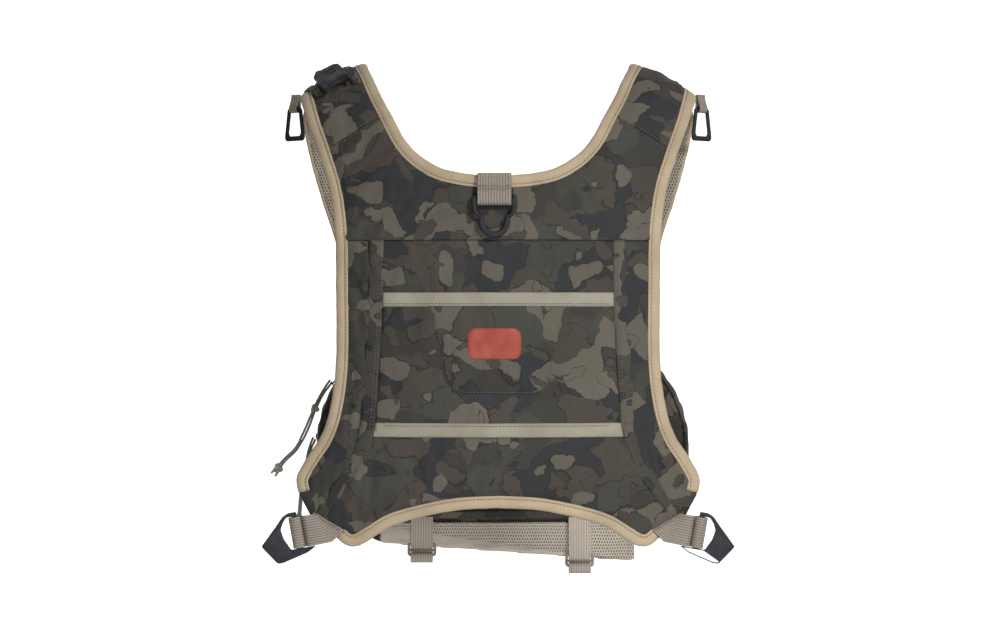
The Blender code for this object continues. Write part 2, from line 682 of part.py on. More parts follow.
def zip_pulls():
    """Two sliders on the pack's zip, each with a pull cord doubled through its bail."""
    for word, angle in SLIDERS.items():
        zip_slider(f"zip_slider_{word}", zip_frame(math.radians(angle)))
        for strand, shift in (("a", -1.5), ("b", 1.5)):
            route = [(Vector(p) + Vector((0, shift, 0))) * MM for p in CORD_ROUTES[word]]
            tube(f"pull_cord_{word}_{strand}", smooth_route(route), CORD, "khaki_cord")


def smooth_route(knots, step=6 * MM):
    """Catmull-Rom curve through points in space."""
    knots = [2 * knots[0] - knots[1]] + knots + [2 * knots[-1] - knots[-2]]
    line = []
    for a, b, c, d in zip(knots, knots[1:], knots[2:], knots[3:]):
        pieces = max(1, round((c - b).length / step))
        for i in range(pieces):
            t = i / pieces
            line.append(0.5 * (2 * b + (c - a) * t + (2 * a - 5 * b + 4 * c - d) * t * t
                               + (3 * b - a - 3 * c + d) * t ** 3))
    return line + [knots[-2]]


def pack_back():
    """Mesh pads and a cloth strip on the wearer's side, and a webbing tab on the right end."""
    y = PACK_Y - GAP - PAD / 2
    rows = {
        "pack_pad_upper": (-378, -250, 250, "spacer_mesh"),
        "pack_trim_strip": (-388.5, -378.3, 240, "camo_cloth"),
        "pack_pad_lower": (-418, -388.8, 232, "spacer_mesh"),
    }
    for name, (low, high, width, slot) in rows.items():
        outline = rounded_box(width * MM, (high - low) * MM, 4 * MM, count=3)
        if name == "pack_pad_lower":
            outline = [Vector((p[0], p[1] - (PAD_SLANT * p[0] if p[1] < 0 else 0))) for p in outline]
        plate(name, [outline], PAD, slot, standing(8 * MM, y, (low + high) / 2 * MM), edge=2 * MM)
    box("pack_tab_right", (2 * MM, 14 * MM, 15 * MM), "taupe_webbing",
        Matrix.Translation((PACK_X + PACK_HALF + PACK_END + GAP + 1 * MM, PACK_Y + 22 * MM, -327 * MM)))


def lash_straps():
    """Short straps hanging over the lower pad, each with a tri-glide above its rolled end."""
    middle = PACK_Y - GAP - PAD - 3.3 * MM
    near, far = middle - TRIM / 2, middle + TRIM / 2
    meet = math.acos((near - far + LASH_ROLL) / LASH_ROLL)
    for word, (x, z) in LASH_ENDS.items():
        profile = arc((far - LASH_ROLL, z), LASH_ROLL, meet, 2 * math.pi, 16)
        profile += [Vector((far, -392 * MM)), Vector((PACK_Y - PAD - GAP * 2, -385 * MM)),
                    Vector((PACK_Y - PAD - 2 * MM, -385 * MM)), Vector((near, -392 * MM))]
        side = Matrix(((0, 0, 1), (1, 0, 0), (0, 1, 0))).to_4x4()
        plate(f"lash_strap_{word}", [profile], LASH_WIDTH, "taupe_webbing",
              Matrix.Translation((x, 0, 0)) @ side, edge=0.2 * MM)
        triglide(f"triglide_{word}", Vector((x, 0, z + LASH_ROLL + GAP + 1.6 * MM)), near, far)


def triglide(name, centre, near, far):
    """Frame with its middle bar on the outside of the strap and its end bars behind it."""
    rail, bar = 2.6 * MM, 2.6 * MM
    thick = (1.5 * MM, 1.8 * MM)    # middle bar, end bars
    width = LASH_WIDTH + 1.2 * MM
    front = near - GAP - thick[0]
    back = far + GAP + thick[1]
    end = (GLIDE_HEIGHT - bar) / 2
    blocks = [((0, front + thick[0] / 2, 0), (width + rail, thick[0], bar))]
    for side in (-1, 1):
        blocks.append(((side * (width + rail) / 2, (front + back) / 2, 0), (rail, back - front, GLIDE_HEIGHT)))
        blocks.append(((0, back - thick[1] / 2, side * end), (width + rail, thick[1], bar)))
    pieces = [box(f"{name}_{i}", size, "khaki_plastic", Matrix.Translation(centre + Vector(place)))
              for i, (place, size) in enumerate(blocks)]
    frame = pieces[0]
    for piece in pieces[1:]:
        combine(frame, piece, "UNION")
    frame.name = name
    frame.data.name = name


clear_scene()
VEST = collection("fishing_vest")
back_cloth()
back_bindings()
back_trims()
neck_ring()
corner_hooks()
shoulder_dock()
front_straps()
tool_rings()
pack_shells()
zip_pulls()
pack_back()
lash_straps()
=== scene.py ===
"""Looks of the fishing vest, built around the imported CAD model.

Cloth pieces are cut flat in cloth coordinates (x, s): x runs across the vest and s along the cloth
from the shoulder line, negative down the back and positive down the front.  on_body bends them over
the wearer's shape.  All lengths are metres, in the CAD frame.
"""
import math

import bmesh
import bpy
import numpy as np
from mathutils import Matrix, Vector, noise


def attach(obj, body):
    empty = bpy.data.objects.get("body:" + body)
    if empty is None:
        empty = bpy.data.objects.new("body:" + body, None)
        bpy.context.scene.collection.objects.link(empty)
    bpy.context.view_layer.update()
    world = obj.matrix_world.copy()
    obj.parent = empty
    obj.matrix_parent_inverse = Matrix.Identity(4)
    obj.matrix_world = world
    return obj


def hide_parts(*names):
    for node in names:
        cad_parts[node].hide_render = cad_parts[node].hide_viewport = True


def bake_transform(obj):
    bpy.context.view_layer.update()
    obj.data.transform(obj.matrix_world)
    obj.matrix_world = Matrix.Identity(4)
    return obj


MM = 0.001
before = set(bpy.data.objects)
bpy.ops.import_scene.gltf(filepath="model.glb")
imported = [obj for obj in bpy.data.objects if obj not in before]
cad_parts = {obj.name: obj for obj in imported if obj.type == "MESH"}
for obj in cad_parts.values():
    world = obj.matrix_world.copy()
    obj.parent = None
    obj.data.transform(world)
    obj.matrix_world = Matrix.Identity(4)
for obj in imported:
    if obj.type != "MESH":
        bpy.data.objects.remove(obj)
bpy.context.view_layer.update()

# --- dimensions shared with the CAD ---------------------------------------------------------------
SHOULDER_RADIUS = 100 * MM
SHOULDER_TURN = 1.45
SHOULDER_TOP = 12.5 * MM
CHEST_BULGE = 9 * MM
HANG_LENGTH = 310 * MM
BINDING_WIDTH = 10.5 * MM
STRAP_RIM = 8.5 * MM            # binding width on the front straps
BAND_WIDTH = 12.5 * MM
TAPE_WIDTH = 11.5 * MM
WEBBING_WIDTH = 28 * MM
YOKE_SEAM = -210.5 * MM
TAPE_TOP = -254 * MM
TAPE_BOTTOM = -361.5 * MM
LOOP_X = -3 * MM

NECK_EDGE = [(0, -157), (23, -156.2), (45.5, -151.5), (59, -144.5), (71, -134.5), (79.5, -122.5),
             (88.5, -103.5), (97.5, -83), (105, -58), (111.5, -30), (113, 0)]
ARM_EDGE = [(169, 0), (168.5, -40), (165.5, -75), (159.5, -108), (150, -138), (140.5, -168),
            (135.5, -205), (134.5, -250), (134.5, -310), (139, -347), (146.5, -371),
            (157.5, -388), (166.5, -403), (169, -411), (167, -421)]
HEM_EDGE = [(134.5, -458), (127, -464), (116.3, -464.5), (102, -456), (86.5, -446.7),
            (61, -439), (33, -433.5), (0, -431.5)]
BAND_INNER = [(94.5, -210.8), (95, -252), (96.5, -293), (98.3, -322), (101.5, -364), (108, -389.5),
              (118, -408), (128, -421), (137, -436), (145, -452)]
STRAP_OUTER = [(169.5, 40), (173, 80), (169, 125), (159, 165), (148, 200), (137.5, 240),
               (131, 280), (129, 314)]
STRAP_INNER = [(112, 50), (107, 100), (99, 150), (92, 195), (87, 240), (85.5, 280), (86, 314)]
SHOULDER_SEAM = ((91.5, -101), (150, -138.5))
CORNER_SEAM = ((127.5, -451), (151, -438))
CORNER_TIP = [(166, -422.5), (157, -439)]

PACK_END = 98 * MM
PACK_HALF = 70 * MM
PACK_X = 4 * MM
PACK_Z = -320 * MM
PACK_Y = 103 * MM
PACK_REAR = 46 * MM
PACK_FRONT = 34 * MM
PACK_FRONT_Y = 154.6 * MM       # the side of the front compartment that faces the wearer
ZIP_Y = 151.8 * MM
POCKET_Y = 194.9 * MM           # middle of the front pocket's depth
POCKET_ZIP_Y = 201.9 * MM
POCKET_ZIP_Z = -294 * MM
PAD_Y = 99.7 * MM               # middle of the pads' depth
CORD = 2.2 * MM
GAP = 0.3 * MM                  # play left between pieces that move on each other
LASH_WIDTH = 20 * MM
LASH_ENDS = {"left": (-69 * MM, -421.2 * MM), "right": (73.5 * MM, -430.8 * MM)}
LASH_ROLL = 4.6 * MM
GLIDE_HEIGHT = 12 * MM
PAD_X = 8 * MM
PAD_Z = -403.4 * MM             # middle of the lower pad
PAD_SLANT = 0.071               # the lower pad's bottom edge falls this much towards the right
CREASE_SLANT = 0.149            # and its crease falls this much
CREASE_RISE = -6.5 * MM         # height of the crease at the pad's middle
SMOOTH_END = 68 * MM            # the smooth cloth below the crease ends this far right of the middle
ROLL_TILT = math.radians(10)

# Pull cords from the slider's bail to the tail knot, in metres as in the CAD model.
CORD_ROUTES = {
    "upper": [(-0.155, 0.152, -0.2635), (-0.163, 0.152, -0.275), (-0.170, 0.151, -0.289),
              (-0.178, 0.149, -0.309), (-0.187, 0.147, -0.326), (-0.198, 0.145, -0.337),
              (-0.208, 0.144, -0.350)],
    "lower": [(-0.1705, 0.152, -0.3165), (-0.175, 0.150, -0.328), (-0.178, 0.142, -0.346),
              (-0.181, 0.132, -0.366), (-0.182, 0.126, -0.382), (-0.183, 0.122, -0.395)],
}

# Heights of the layers above the middle of the shell cloth.
SHELL = 0.0
TRIMS = 1.5 * MM
PATCH = 2.5 * MM
LABEL = 3.4 * MM
LINING = -2.2 * MM
SIDES = ((1, "right"), (-1, "left"))


def ease(t):
    t = np.clip(t, 0.0, 1.0)
    return t * t * (3 - 2 * t)


# --- the worn shape -------------------------------------------------------------------------------
def worn(x, s):
    """Where cloth coordinates lie on the wearer, as an array of points."""
    side = np.where(s > 0, 1.0, -1.0)
    run = np.abs(s)
    bend = SHOULDER_RADIUS * SHOULDER_TURN
    turn = np.minimum(run, bend) / SHOULDER_RADIUS
    hang = np.maximum(run - bend, 0.0)
    y = SHOULDER_RADIUS * np.sin(turn)
    y = y + CHEST_BULGE * np.sin(np.pi * np.minimum(hang / HANG_LENGTH, 1.0))
    z = SHOULDER_TOP - SHOULDER_RADIUS * (1 - np.cos(turn)) - hang
    below = ease(run / 0.14)
    y = y - 1.2 * x * x * below
    z = z - 8.5 * np.maximum(0.0, np.abs(x) - 0.11) ** 2 * (1 - below)
    return np.stack([x, side * y, z], -1)


def axes_on_body(flat):
    """Unit directions across, along (towards the front) and out of the cloth."""
    x, s = flat[:, 0], flat[:, 1]
    step = 0.5 * MM
    across = worn(x + step, s) - worn(x - step, s)
    along = worn(x, s + step) - worn(x, s - step)
    out = np.cross(across, along)
    unit = [a / np.linalg.norm(a, axis=1, keepdims=True) for a in (across, along, out)]
    return unit


def on_body(flat, height):
    flat = np.asarray(flat, float)
    return worn(flat[:, 0], flat[:, 1]) + axes_on_body(flat)[2] * np.reshape(height, (-1, 1))


def frame_on_body(x, s, height):
    flat = np.array([[x, s]])
    across, along, out = (Vector(a[0]) for a in axes_on_body(flat))
    along = out.cross(across).normalized()
    made = Matrix((across, along, out)).transposed().to_4x4()
    made.translation = Vector(on_body(flat, [height])[0])
    return made


# --- flat outlines, as arrays of (x, s) -----------------------------------------------------------
def smooth_line(points, step=5 * MM, unit=MM):
    """Catmull-Rom curve through a few points of any dimension."""
    knots = [np.array(p, float) * unit for p in points]
    knots = [2 * knots[0] - knots[1]] + knots + [2 * knots[-1] - knots[-2]]
    line = []
    for a, b, c, d in zip(knots, knots[1:], knots[2:], knots[3:]):
        pieces = max(1, round(np.linalg.norm(c - b) / step))
        for i in range(pieces):
            t = i / pieces
            line.append(0.5 * (2 * b + (c - a) * t + (2 * a - 5 * b + 4 * c - d) * t * t
                               + (3 * b - a - 3 * c + d) * t ** 3))
    return np.array(line + [knots[-2]])


def normals_of(line):
    """Unit directions to the left of a flat line."""
    run = np.gradient(line, axis=0)
    run /= np.linalg.norm(run, axis=1, keepdims=True)
    return np.stack([-run[:, 1], run[:, 0]], -1)


def offset_line(line, distance):
    return line + normals_of(line) * np.reshape(distance, (-1, 1))


def mirrored(line):
    return line * np.array([-1.0, 1.0])


def on_side(line, side):
    """A line drawn for the right side, mirrored for the left."""
    return line if side > 0 else mirrored(line)


def part_of(line, *tests):
    """The stretch of a line where no test is negative, cut exactly at its ends."""
    for test in tests:
        kept = []
        for a, b in zip(line, line[1:]):
            at_a, at_b = test(a), test(b)
            if at_a >= 0:
                kept.append(a)
            if at_a * at_b < 0:
                kept.append(a + (b - a) * (at_a / (at_a - at_b)))
        if test(line[-1]) >= 0:
            kept.append(line[-1])
        line = np.array(kept)
    return line


def side_of(seam, shift=0.0):
    """Signed distance above a straight seam, given by two points in millimetres."""
    a, b = (np.array(p) * MM for p in seam)
    run = (b - a) / np.linalg.norm(b - a)
    normal = np.array([-run[1], run[0]])
    return lambda p: (p - a) @ normal - shift


def whole(half):
    """A full outline from its right half, whose ends lie on the middle line."""
    left = mirrored(half)[::-1]
    return np.concatenate([half, left[left[:, 0] < -1e-6]])


def arc(centre, radius, start, end, count):
    angles = start + (end - start) * np.arange(count + 1) / count
    return np.stack([centre[0] + radius * np.cos(angles), centre[1] + radius * np.sin(angles)], -1)


def rounded(points, radius, count=5):
    """A closed outline with each corner turned into an arc, as far as its sides allow."""
    points = [np.array(p, float) for p in points]
    line = []
    for a, b, c in zip(points[-1:] + points[:-1], points, points[1:] + points[:1]):
        reach = min(radius, 0.45 * np.linalg.norm(a - b), 0.45 * np.linalg.norm(c - b))
        start = b + (a - b) / np.linalg.norm(a - b) * reach
        end = b + (c - b) / np.linalg.norm(c - b) * reach
        for i in range(count + 1):
            t = i / count
            line.append((1 - t) ** 2 * start + 2 * t * (1 - t) * b + t * t * end)
    return np.array(line)


def oblong(width, height, radius, centre=(0.0, 0.0), count=4):
    w, h = width / 2, height / 2
    corners = [(centre[0] + x * w, centre[1] + y * h) for x, y in ((1, -1), (1, 1), (-1, 1), (-1, -1))]
    return rounded(corners, radius, count)


def stadium(inset, count=40):
    radius = PACK_END - inset
    right = arc((PACK_HALF, 0), radius, -math.pi / 2, math.pi / 2, count)
    left = arc((-PACK_HALF, 0), radius, math.pi / 2, 1.5 * math.pi, count)
    return np.concatenate([right, left])


NECK = smooth_line(NECK_EDGE + STRAP_INNER)     # middle of the neck, up, over and down the front
ARM = smooth_line(ARM_EDGE[::-1] + STRAP_OUTER)  # lower corner, up, over and down the front
HEM = smooth_line(HEM_EDGE)
BAND = smooth_line(BAND_INNER)


# --- materials ------------------------------------------------------------------------------------
class Graph:
    """Short words for building a material's node tree on the 'place' attribute."""

    def __init__(self, name, roughness, sheen=0.0, metallic=0.0, specular=0.5):
        self.material = bpy.data.materials.new(name + "_look")
        self.material.use_nodes = True
        self.tree = self.material.node_tree
        self.shader = self.tree.nodes["Principled BSDF"]
        self.shader.inputs["Roughness"].default_value = roughness
        self.shader.inputs["Sheen Weight"].default_value = sheen
        self.shader.inputs["Metallic"].default_value = metallic
        self.shader.inputs["Specular IOR Level"].default_value = specular

    def node(self, kind, **settings):
        made = self.tree.nodes.new(kind)
        for key, value in settings.items():
            setattr(made, key, value)
        return made

    def feed(self, socket, value):
        if isinstance(value, bpy.types.NodeSocket):
            self.tree.links.new(value, socket)
        else:
            socket.default_value = value

    def place(self):
        return self.node("ShaderNodeAttribute", attribute_name="place").outputs["Vector"]

    def moved(self, vector, shift, scale=(1, 1, 1)):
        made = self.node("ShaderNodeMapping")
        self.feed(made.inputs["Vector"], vector)
        made.inputs["Location"].default_value = shift
        made.inputs["Scale"].default_value = scale
        return made.outputs["Vector"]

    def split(self, vector):
        made = self.node("ShaderNodeSeparateXYZ")
        self.feed(made.inputs[0], vector)
        return made.outputs[:]

    def noise(self, vector, scale, detail=2.0, distortion=0.0, colour=False):
        made = self.node("ShaderNodeTexNoise")
        self.feed(made.inputs["Vector"], vector)
        made.inputs["Scale"].default_value = scale
        made.inputs["Detail"].default_value = detail
        made.inputs["Distortion"].default_value = distortion
        return made.outputs["Color" if colour else "Fac"]

    def math(self, operation, *values):
        made = self.node("ShaderNodeMath", operation=operation)
        for socket, value in zip(made.inputs, values):
            self.feed(socket, value)
        return made.outputs[0]

    def ramp(self, value, low, high, to_low=0.0, to_high=1.0):
        made = self.node("ShaderNodeMapRange", interpolation_type="SMOOTHSTEP")
        for socket, number in zip(made.inputs, (value, low, high, to_low, to_high)):
            self.feed(socket, number)
        return made.outputs[0]

    def mix(self, factor, a, b, blend="MIX"):
        made = self.node("ShaderNodeMix", data_type="RGBA", blend_type=blend)
        self.feed(made.inputs["Factor"], factor)
        self.feed(made.inputs[6], a if isinstance(a, bpy.types.NodeSocket) else (*a, 1.0))
        self.feed(made.inputs[7], b if isinstance(b, bpy.types.NodeSocket) else (*b, 1.0))
        return made.outputs[2]

    def shade(self, colour, amount):
        """Colour times a grey value."""
        made = self.node("ShaderNodeVectorMath", operation="SCALE")
        self.feed(made.inputs[0], colour if isinstance(colour, bpy.types.NodeSocket) else tuple(colour))
        self.feed(made.inputs["Scale"], amount)
        return made.outputs[0]

    def colour(self, value):
        self.feed(self.shader.inputs["Base Color"], value)

    def bump(self, height, distance, strength=1.0):
        made = self.node("ShaderNodeBump")
        made.inputs["Strength"].default_value = strength
        made.inputs["Distance"].default_value = distance
        self.feed(made.inputs["Height"], height)
        self.feed(self.shader.inputs["Normal"], made.outputs["Normal"])

    def roughen(self, value, low, high):
        self.feed(self.shader.inputs["Roughness"], self.ramp(value, 0.3, 0.7, low, high))

    def wave(self, value, pitch):
        """0 to 1 and back over each pitch."""
        turned = self.math("SINE", self.math("MULTIPLY", value, math.pi / pitch))
        return self.math("ABSOLUTE", turned)

    def weave(self, pitch):
        x, y, _ = self.split(self.place())
        return self.math("MULTIPLY", self.wave(x, pitch), self.wave(y, pitch))


CAMO_BASE = (0.045, 0.043, 0.037)
CAMO_GREEN = (0.055, 0.056, 0.046)
CAMO_SLATE = (0.033, 0.034, 0.036)
CAMO_BROWN = (0.064, 0.054, 0.045)
CAMO_LIGHT = (0.118, 0.105, 0.083)
CAMO_LINE = (0.021, 0.020, 0.018)


def camo_cloth():
    """Blotched dull greens, browns and greys, each blotch with a thin dark rim, on a fine twill.

    The blotches' outlines are wobbled by noise at three scales.
    """
    g = Graph("camo_cloth", 0.78, sheen=0.03, specular=0.22)
    place = g.place()
    flat = place
    for scale, reach in ((60, 12 * MM), (170, 5 * MM), (520, 1.8 * MM)):
        wobble = g.node("ShaderNodeVectorMath", operation="MULTIPLY_ADD")
        g.feed(wobble.inputs[0], g.noise(place, scale, 1.0, colour=True))
        wobble.inputs[1].default_value = (reach, reach, 0)
        g.feed(wobble.inputs[2], flat)
        flat = wobble.outputs[0]
    colour = g.mix(g.ramp(g.noise(flat, 24, 0.5), 0.48, 0.52), CAMO_BASE, CAMO_GREEN)
    # Each kind of blotch: its own noise and scale, the level where it starts, and its colour.
    fields = (
        (g.moved(flat, (1.7, 0.4, 0.0)), 23, 0.535, CAMO_BROWN),
        (g.moved(flat, (5.1, 2.3, 0.0)), 25, 0.560, CAMO_SLATE),
        (g.moved(flat, (8.6, 7.9, 0.0)), 24, 0.585, CAMO_LIGHT),
        (g.moved(flat, (3.3, 6.2, 0.0)), 38, 0.640, CAMO_LIGHT),
        (g.moved(flat, (6.4, 1.1, 0.0)), 44, 0.645, CAMO_BROWN),
    )
    for vector, scale, level, tint in fields:
        field = g.noise(vector, scale, 0.5, 0.25)
        colour = g.mix(g.ramp(field, level - 0.002, level + 0.002), colour, tint)
        rim = g.math("ABSOLUTE", g.math("SUBTRACT", field, level))
        colour = g.mix(g.ramp(rim, 0.003, 0.008, 0.75, 0.0), colour, CAMO_LINE)
    x, y, _ = g.split(place)
    twill = g.math("MULTIPLY", g.wave(g.math("ADD", x, y), 1.1 * MM), g.wave(y, 0.8 * MM))
    grain = g.noise(place, 900, 1.0)
    fade = g.noise(place, 14, 3.0)
    # The twill's raised lines are painted lighter and its grooves darker: painted shade in the weave. Grain
    # and fade are the cloth's random tone.
    tone = g.math("ADD", g.math("MULTIPLY", grain, 0.45), g.math("MULTIPLY", twill, 0.22))
    tone = g.math("ADD", tone, g.math("MULTIPLY", fade, 0.55))
    g.colour(g.shade(colour, g.math("ADD", tone, 0.40)))
    g.roughen(grain, 0.68, 0.86)
    crease = g.noise(g.moved(place, (0, 0, 4.0), (1.0, 0.6, 1.0)), 75, 3.0, 0.6)
    height = g.math("ADD", g.math("MULTIPLY", twill, 0.05), g.math("MULTIPLY", grain, 0.06))
    g.bump(g.math("ADD", height, crease), 2.2 * MM, 0.75)
    return g.material


RIB_PITCH = 0.9 * MM
MESH_PITCH = (2.3 * MM, 2.8 * MM)   # across and up


def tape_cloth(name, tint, dark):
    """Folded binding tape: fine ribs across it, and a little grime where it is handled."""
    g = Graph(name, 0.8, sheen=0.05, specular=0.25)
    place = g.place()
    ribs = g.wave(g.split(place)[0], RIB_PITCH)
    grain = g.noise(place, 1100, 1.0)
    worn_in = g.noise(place, 28, 3.0)
    colour = g.mix(g.ramp(worn_in, 0.35, 0.72), tint, dark)
    # Rib crests are painted lighter than the grooves between them: painted shade. The grain is random tone.
    tone = g.math("ADD", g.math("MULTIPLY", ribs, 0.10), g.math("MULTIPLY", grain, 0.30))
    g.colour(g.shade(colour, g.math("ADD", tone, 0.80)))
    g.roughen(worn_in, 0.74, 0.88)
    g.bump(g.math("ADD", ribs, grain), 0.10 * MM, 0.6)
    return g.material


def webbing_cloth(name, tint, dark):
    """Woven strap: ridges along it, crossed by fine picks, with painted shade darkening the grooves between
    them.
    """
    g = Graph(name, 0.72, sheen=0.05, specular=0.25)
    place = g.place()
    x, y, _ = g.split(place)
    ridge = g.wave(x, 2.3 * MM)
    pick = g.wave(y, 1.3 * MM)
    grain = g.noise(place, 800, 1.0)
    height = g.math("ADD", g.math("MULTIPLY", ridge, 0.75), g.math("MULTIPLY", pick, 0.45))
    # The low parts of the weave take the dark colour and the raised threads the tint: painted shade in the
    # grooves.
    colour = g.mix(g.ramp(height, 0.30, 0.95), dark, tint)
    g.colour(g.shade(colour, g.math("ADD", g.math("MULTIPLY", grain, 0.4), 0.8)))
    g.roughen(grain, 0.62, 0.82)
    g.bump(g.math("ADD", height, g.math("MULTIPLY", grain, 0.3)), 0.35 * MM, 0.8)
    return g.material


def spacer_mesh(name, lift=1.0, folded=False):
    """Padded knit: rows of upright oval holes painted dark as shade, with lighter threads between them.

    lift makes it paler, as painted light.  Folded mesh shows its smooth back below the lower pad's crease,
    up to SMOOTH_END.
    """
    g = Graph(name, 0.85, sheen=0.05, specular=0.2)
    place = g.place()
    x, y, _ = g.split(place)
    row = g.math("FLOOR", g.math("DIVIDE", y, MESH_PITCH[1]))
    shift = g.math("MULTIPLY", g.math("MODULO", row, 2.0), 0.5)
    column = g.math("ADD", g.math("DIVIDE", x, MESH_PITCH[0]), shift)
    u = g.math("SUBTRACT", g.math("FRACT", column), 0.5)
    v = g.math("SUBTRACT", g.math("FRACT", g.math("DIVIDE", y, MESH_PITCH[1])), 0.5)
    across = g.math("MULTIPLY", g.math("MULTIPLY", u, u), 5.2)
    upright = g.math("MULTIPLY", g.math("MULTIPLY", v, v), 2.6)
    thread = g.ramp(g.math("ADD", across, upright), 0.18, 0.62)
    if folded:
        crease = g.math("ADD", g.math("MULTIPLY", x, CREASE_SLANT), y)
        under = g.ramp(crease, CREASE_RISE - 1 * MM, CREASE_RISE + 0.5 * MM, 1.0, 0.0)
        under = g.math("MULTIPLY", under, g.ramp(x, SMOOTH_END - 2 * MM, SMOOTH_END + 2 * MM, 1.0, 0.0))
        thread = g.math("MAXIMUM", thread, under)
    grain = g.noise(place, 900, 1.0)
    soil = g.noise(place, 22, 2.0)
    # The holes take the dark colour as painted shade in the recesses, and the threads take the light one.
    colour = g.mix(thread, (0.110, 0.095, 0.076), (0.410, 0.368, 0.306))
    colour = g.mix(g.ramp(soil, 0.4, 0.8, 0.0, 0.30), colour, (0.250, 0.216, 0.170))
    # lift scales the whole colour up: painted light, for the lower pad that lies in shade behind the hem.
    g.colour(g.shade(colour, g.math("ADD", g.math("MULTIPLY", grain, 0.4 * lift), 0.8 * lift)))
    g.roughen(grain, 0.78, 0.92)
    g.bump(g.math("ADD", thread, g.math("MULTIPLY", grain, 0.3)), 0.6 * MM, 0.9)
    return g.material


def moulded_plastic(name, tint, rough, shine=0.5):
    """Moulded plastic with a fine spark-eroded grain, and lighter scuffs."""
    g = Graph(name, rough, specular=shine)
    place = g.place()
    grain = g.noise(place, 1500, 2.0)
    scuff = g.noise(place, 120, 4.0)
    colour = g.mix(g.ramp(scuff, 0.56, 0.72, 0.0, 0.45), tint, tuple(1.7 * c for c in tint))
    g.colour(colour)
    g.roughen(scuff, rough - 0.08, rough + 0.14)
    g.bump(g.math("ADD", grain, scuff), 0.05 * MM, 0.5)
    return g.material


def braided_cord():
    g = Graph("khaki_cord", 0.7, sheen=0.05, specular=0.3)
    place = g.place()
    x, y, _ = g.split(place)
    left = g.wave(g.math("ADD", x, y), 0.9 * MM)
    right = g.wave(g.math("SUBTRACT", x, y), 0.9 * MM)
    braid = g.math("MULTIPLY", left, right)
    # The braid's grooves take the dark colour: painted shade. Both colours are the cord's light khaki
    # raised further as painted light, making up for the vest's shade.
    colour = g.mix(braid, (0.380, 0.355, 0.300), (0.780, 0.740, 0.650))
    g.colour(colour)
    g.roughen(g.noise(place, 500, 2.0), 0.6, 0.8)
    g.bump(braid, 0.2 * MM, 0.8)
    return g.material


def thread(name, tint):
    g = Graph(name, 0.65, sheen=0.05, specular=0.25)
    grain = g.noise(g.place(), 2500, 1.0)
    g.colour(g.shade(tint, g.math("ADD", g.math("MULTIPLY", grain, 0.8), 0.6)))
    g.roughen(grain, 0.55, 0.75)
    g.bump(grain, 0.05 * MM, 0.5)
    return g.material


def dark_metal():
    g = Graph("slider_metal", 0.35, metallic=0.85)
    place = g.place()
    scuff = g.noise(place, 220, 4.0)
    g.colour(g.mix(g.ramp(scuff, 0.52, 0.70), (0.085, 0.082, 0.078), (0.240, 0.225, 0.205)))
    g.roughen(scuff, 0.28, 0.5)
    g.bump(scuff, 0.05 * MM, 0.4)
    return g.material


def orange_print():
    """Rubbery printed patch, a little worn, so the weave shows through."""
    g = Graph("orange_print", 0.55)
    place = g.place()
    weave = g.weave(0.9 * MM)
    fade = g.noise(place, 90, 3.0)
    g.colour(g.mix(g.ramp(fade, 0.40, 0.72), (0.350, 0.050, 0.026), (0.300, 0.044, 0.023)))
    g.roughen(fade, 0.48, 0.66)
    g.bump(g.math("ADD", weave, fade), 0.10 * MM, 0.6)
    return g.material


MATERIALS = {
    "camo_cloth": camo_cloth(),
    "tan_binding": tape_cloth("tan_binding", (0.470, 0.378, 0.258), (0.395, 0.310, 0.205)),
    "khaki_tape": tape_cloth("khaki_tape", (0.330, 0.308, 0.245), (0.285, 0.262, 0.204)),
    "taupe_webbing": webbing_cloth("taupe_webbing", (0.318, 0.275, 0.233), (0.146, 0.122, 0.100)),
    "spacer_mesh": spacer_mesh("spacer_mesh"),
    # A paler copy of the spacer mesh for the lower pad: painted light, making up for the shade behind the
    # hem.
    "folded_mesh_painted_light": spacer_mesh("folded_mesh_painted_light", 1.45, folded=True),
    # Lighter than the taupe webbing: painted light, making up for the shade the hem casts on the hanging
    # lash straps.
    "lash_webbing": webbing_cloth("lash_webbing", (0.520, 0.460, 0.395), (0.270, 0.232, 0.192)),
    "black_plastic": moulded_plastic("black_plastic", (0.019, 0.021, 0.027), 0.58, 0.3),
    "khaki_plastic": moulded_plastic("khaki_plastic", (0.245, 0.215, 0.172), 0.48),
    "khaki_cord": braided_cord(),
    "zip_coil": moulded_plastic("zip_coil", (0.110, 0.102, 0.085), 0.5),
    "slider_metal": dark_metal(),
    "orange_print": orange_print(),
}
THREADS = {
    # Darker than the tan binding whose colour it really has: painted shade of the stitch holes and groove.
    "tan": thread("tan_thread", (0.205, 0.150, 0.092)),
    "olive": thread("olive_thread", (0.110, 0.102, 0.080)),
    "pale": thread("pale_thread", (0.300, 0.275, 0.225)),
}


# --- mesh makers ----------------------------------------------------------------------------------
def link_new(name, data, place=(0, 0, 0), turn=(0, 0, 0)):
    """A new object in the scene."""
    obj = bpy.data.objects.new(name, data)
    obj.location = place
    obj.rotation_euler = turn
    bpy.context.scene.collection.objects.link(obj)
    return obj


def smoothed(mesh):
    mesh.polygons.foreach_set("use_smooth", [True] * len(mesh.polygons))


def place_points(mesh, places):
    """Where each point sits in its material's texture, kept with the mesh when it bends."""
    kept = mesh.attributes.new("place", "FLOAT_VECTOR", "POINT")
    kept.data.foreach_set("vector", np.asarray(places, np.float32).ravel())


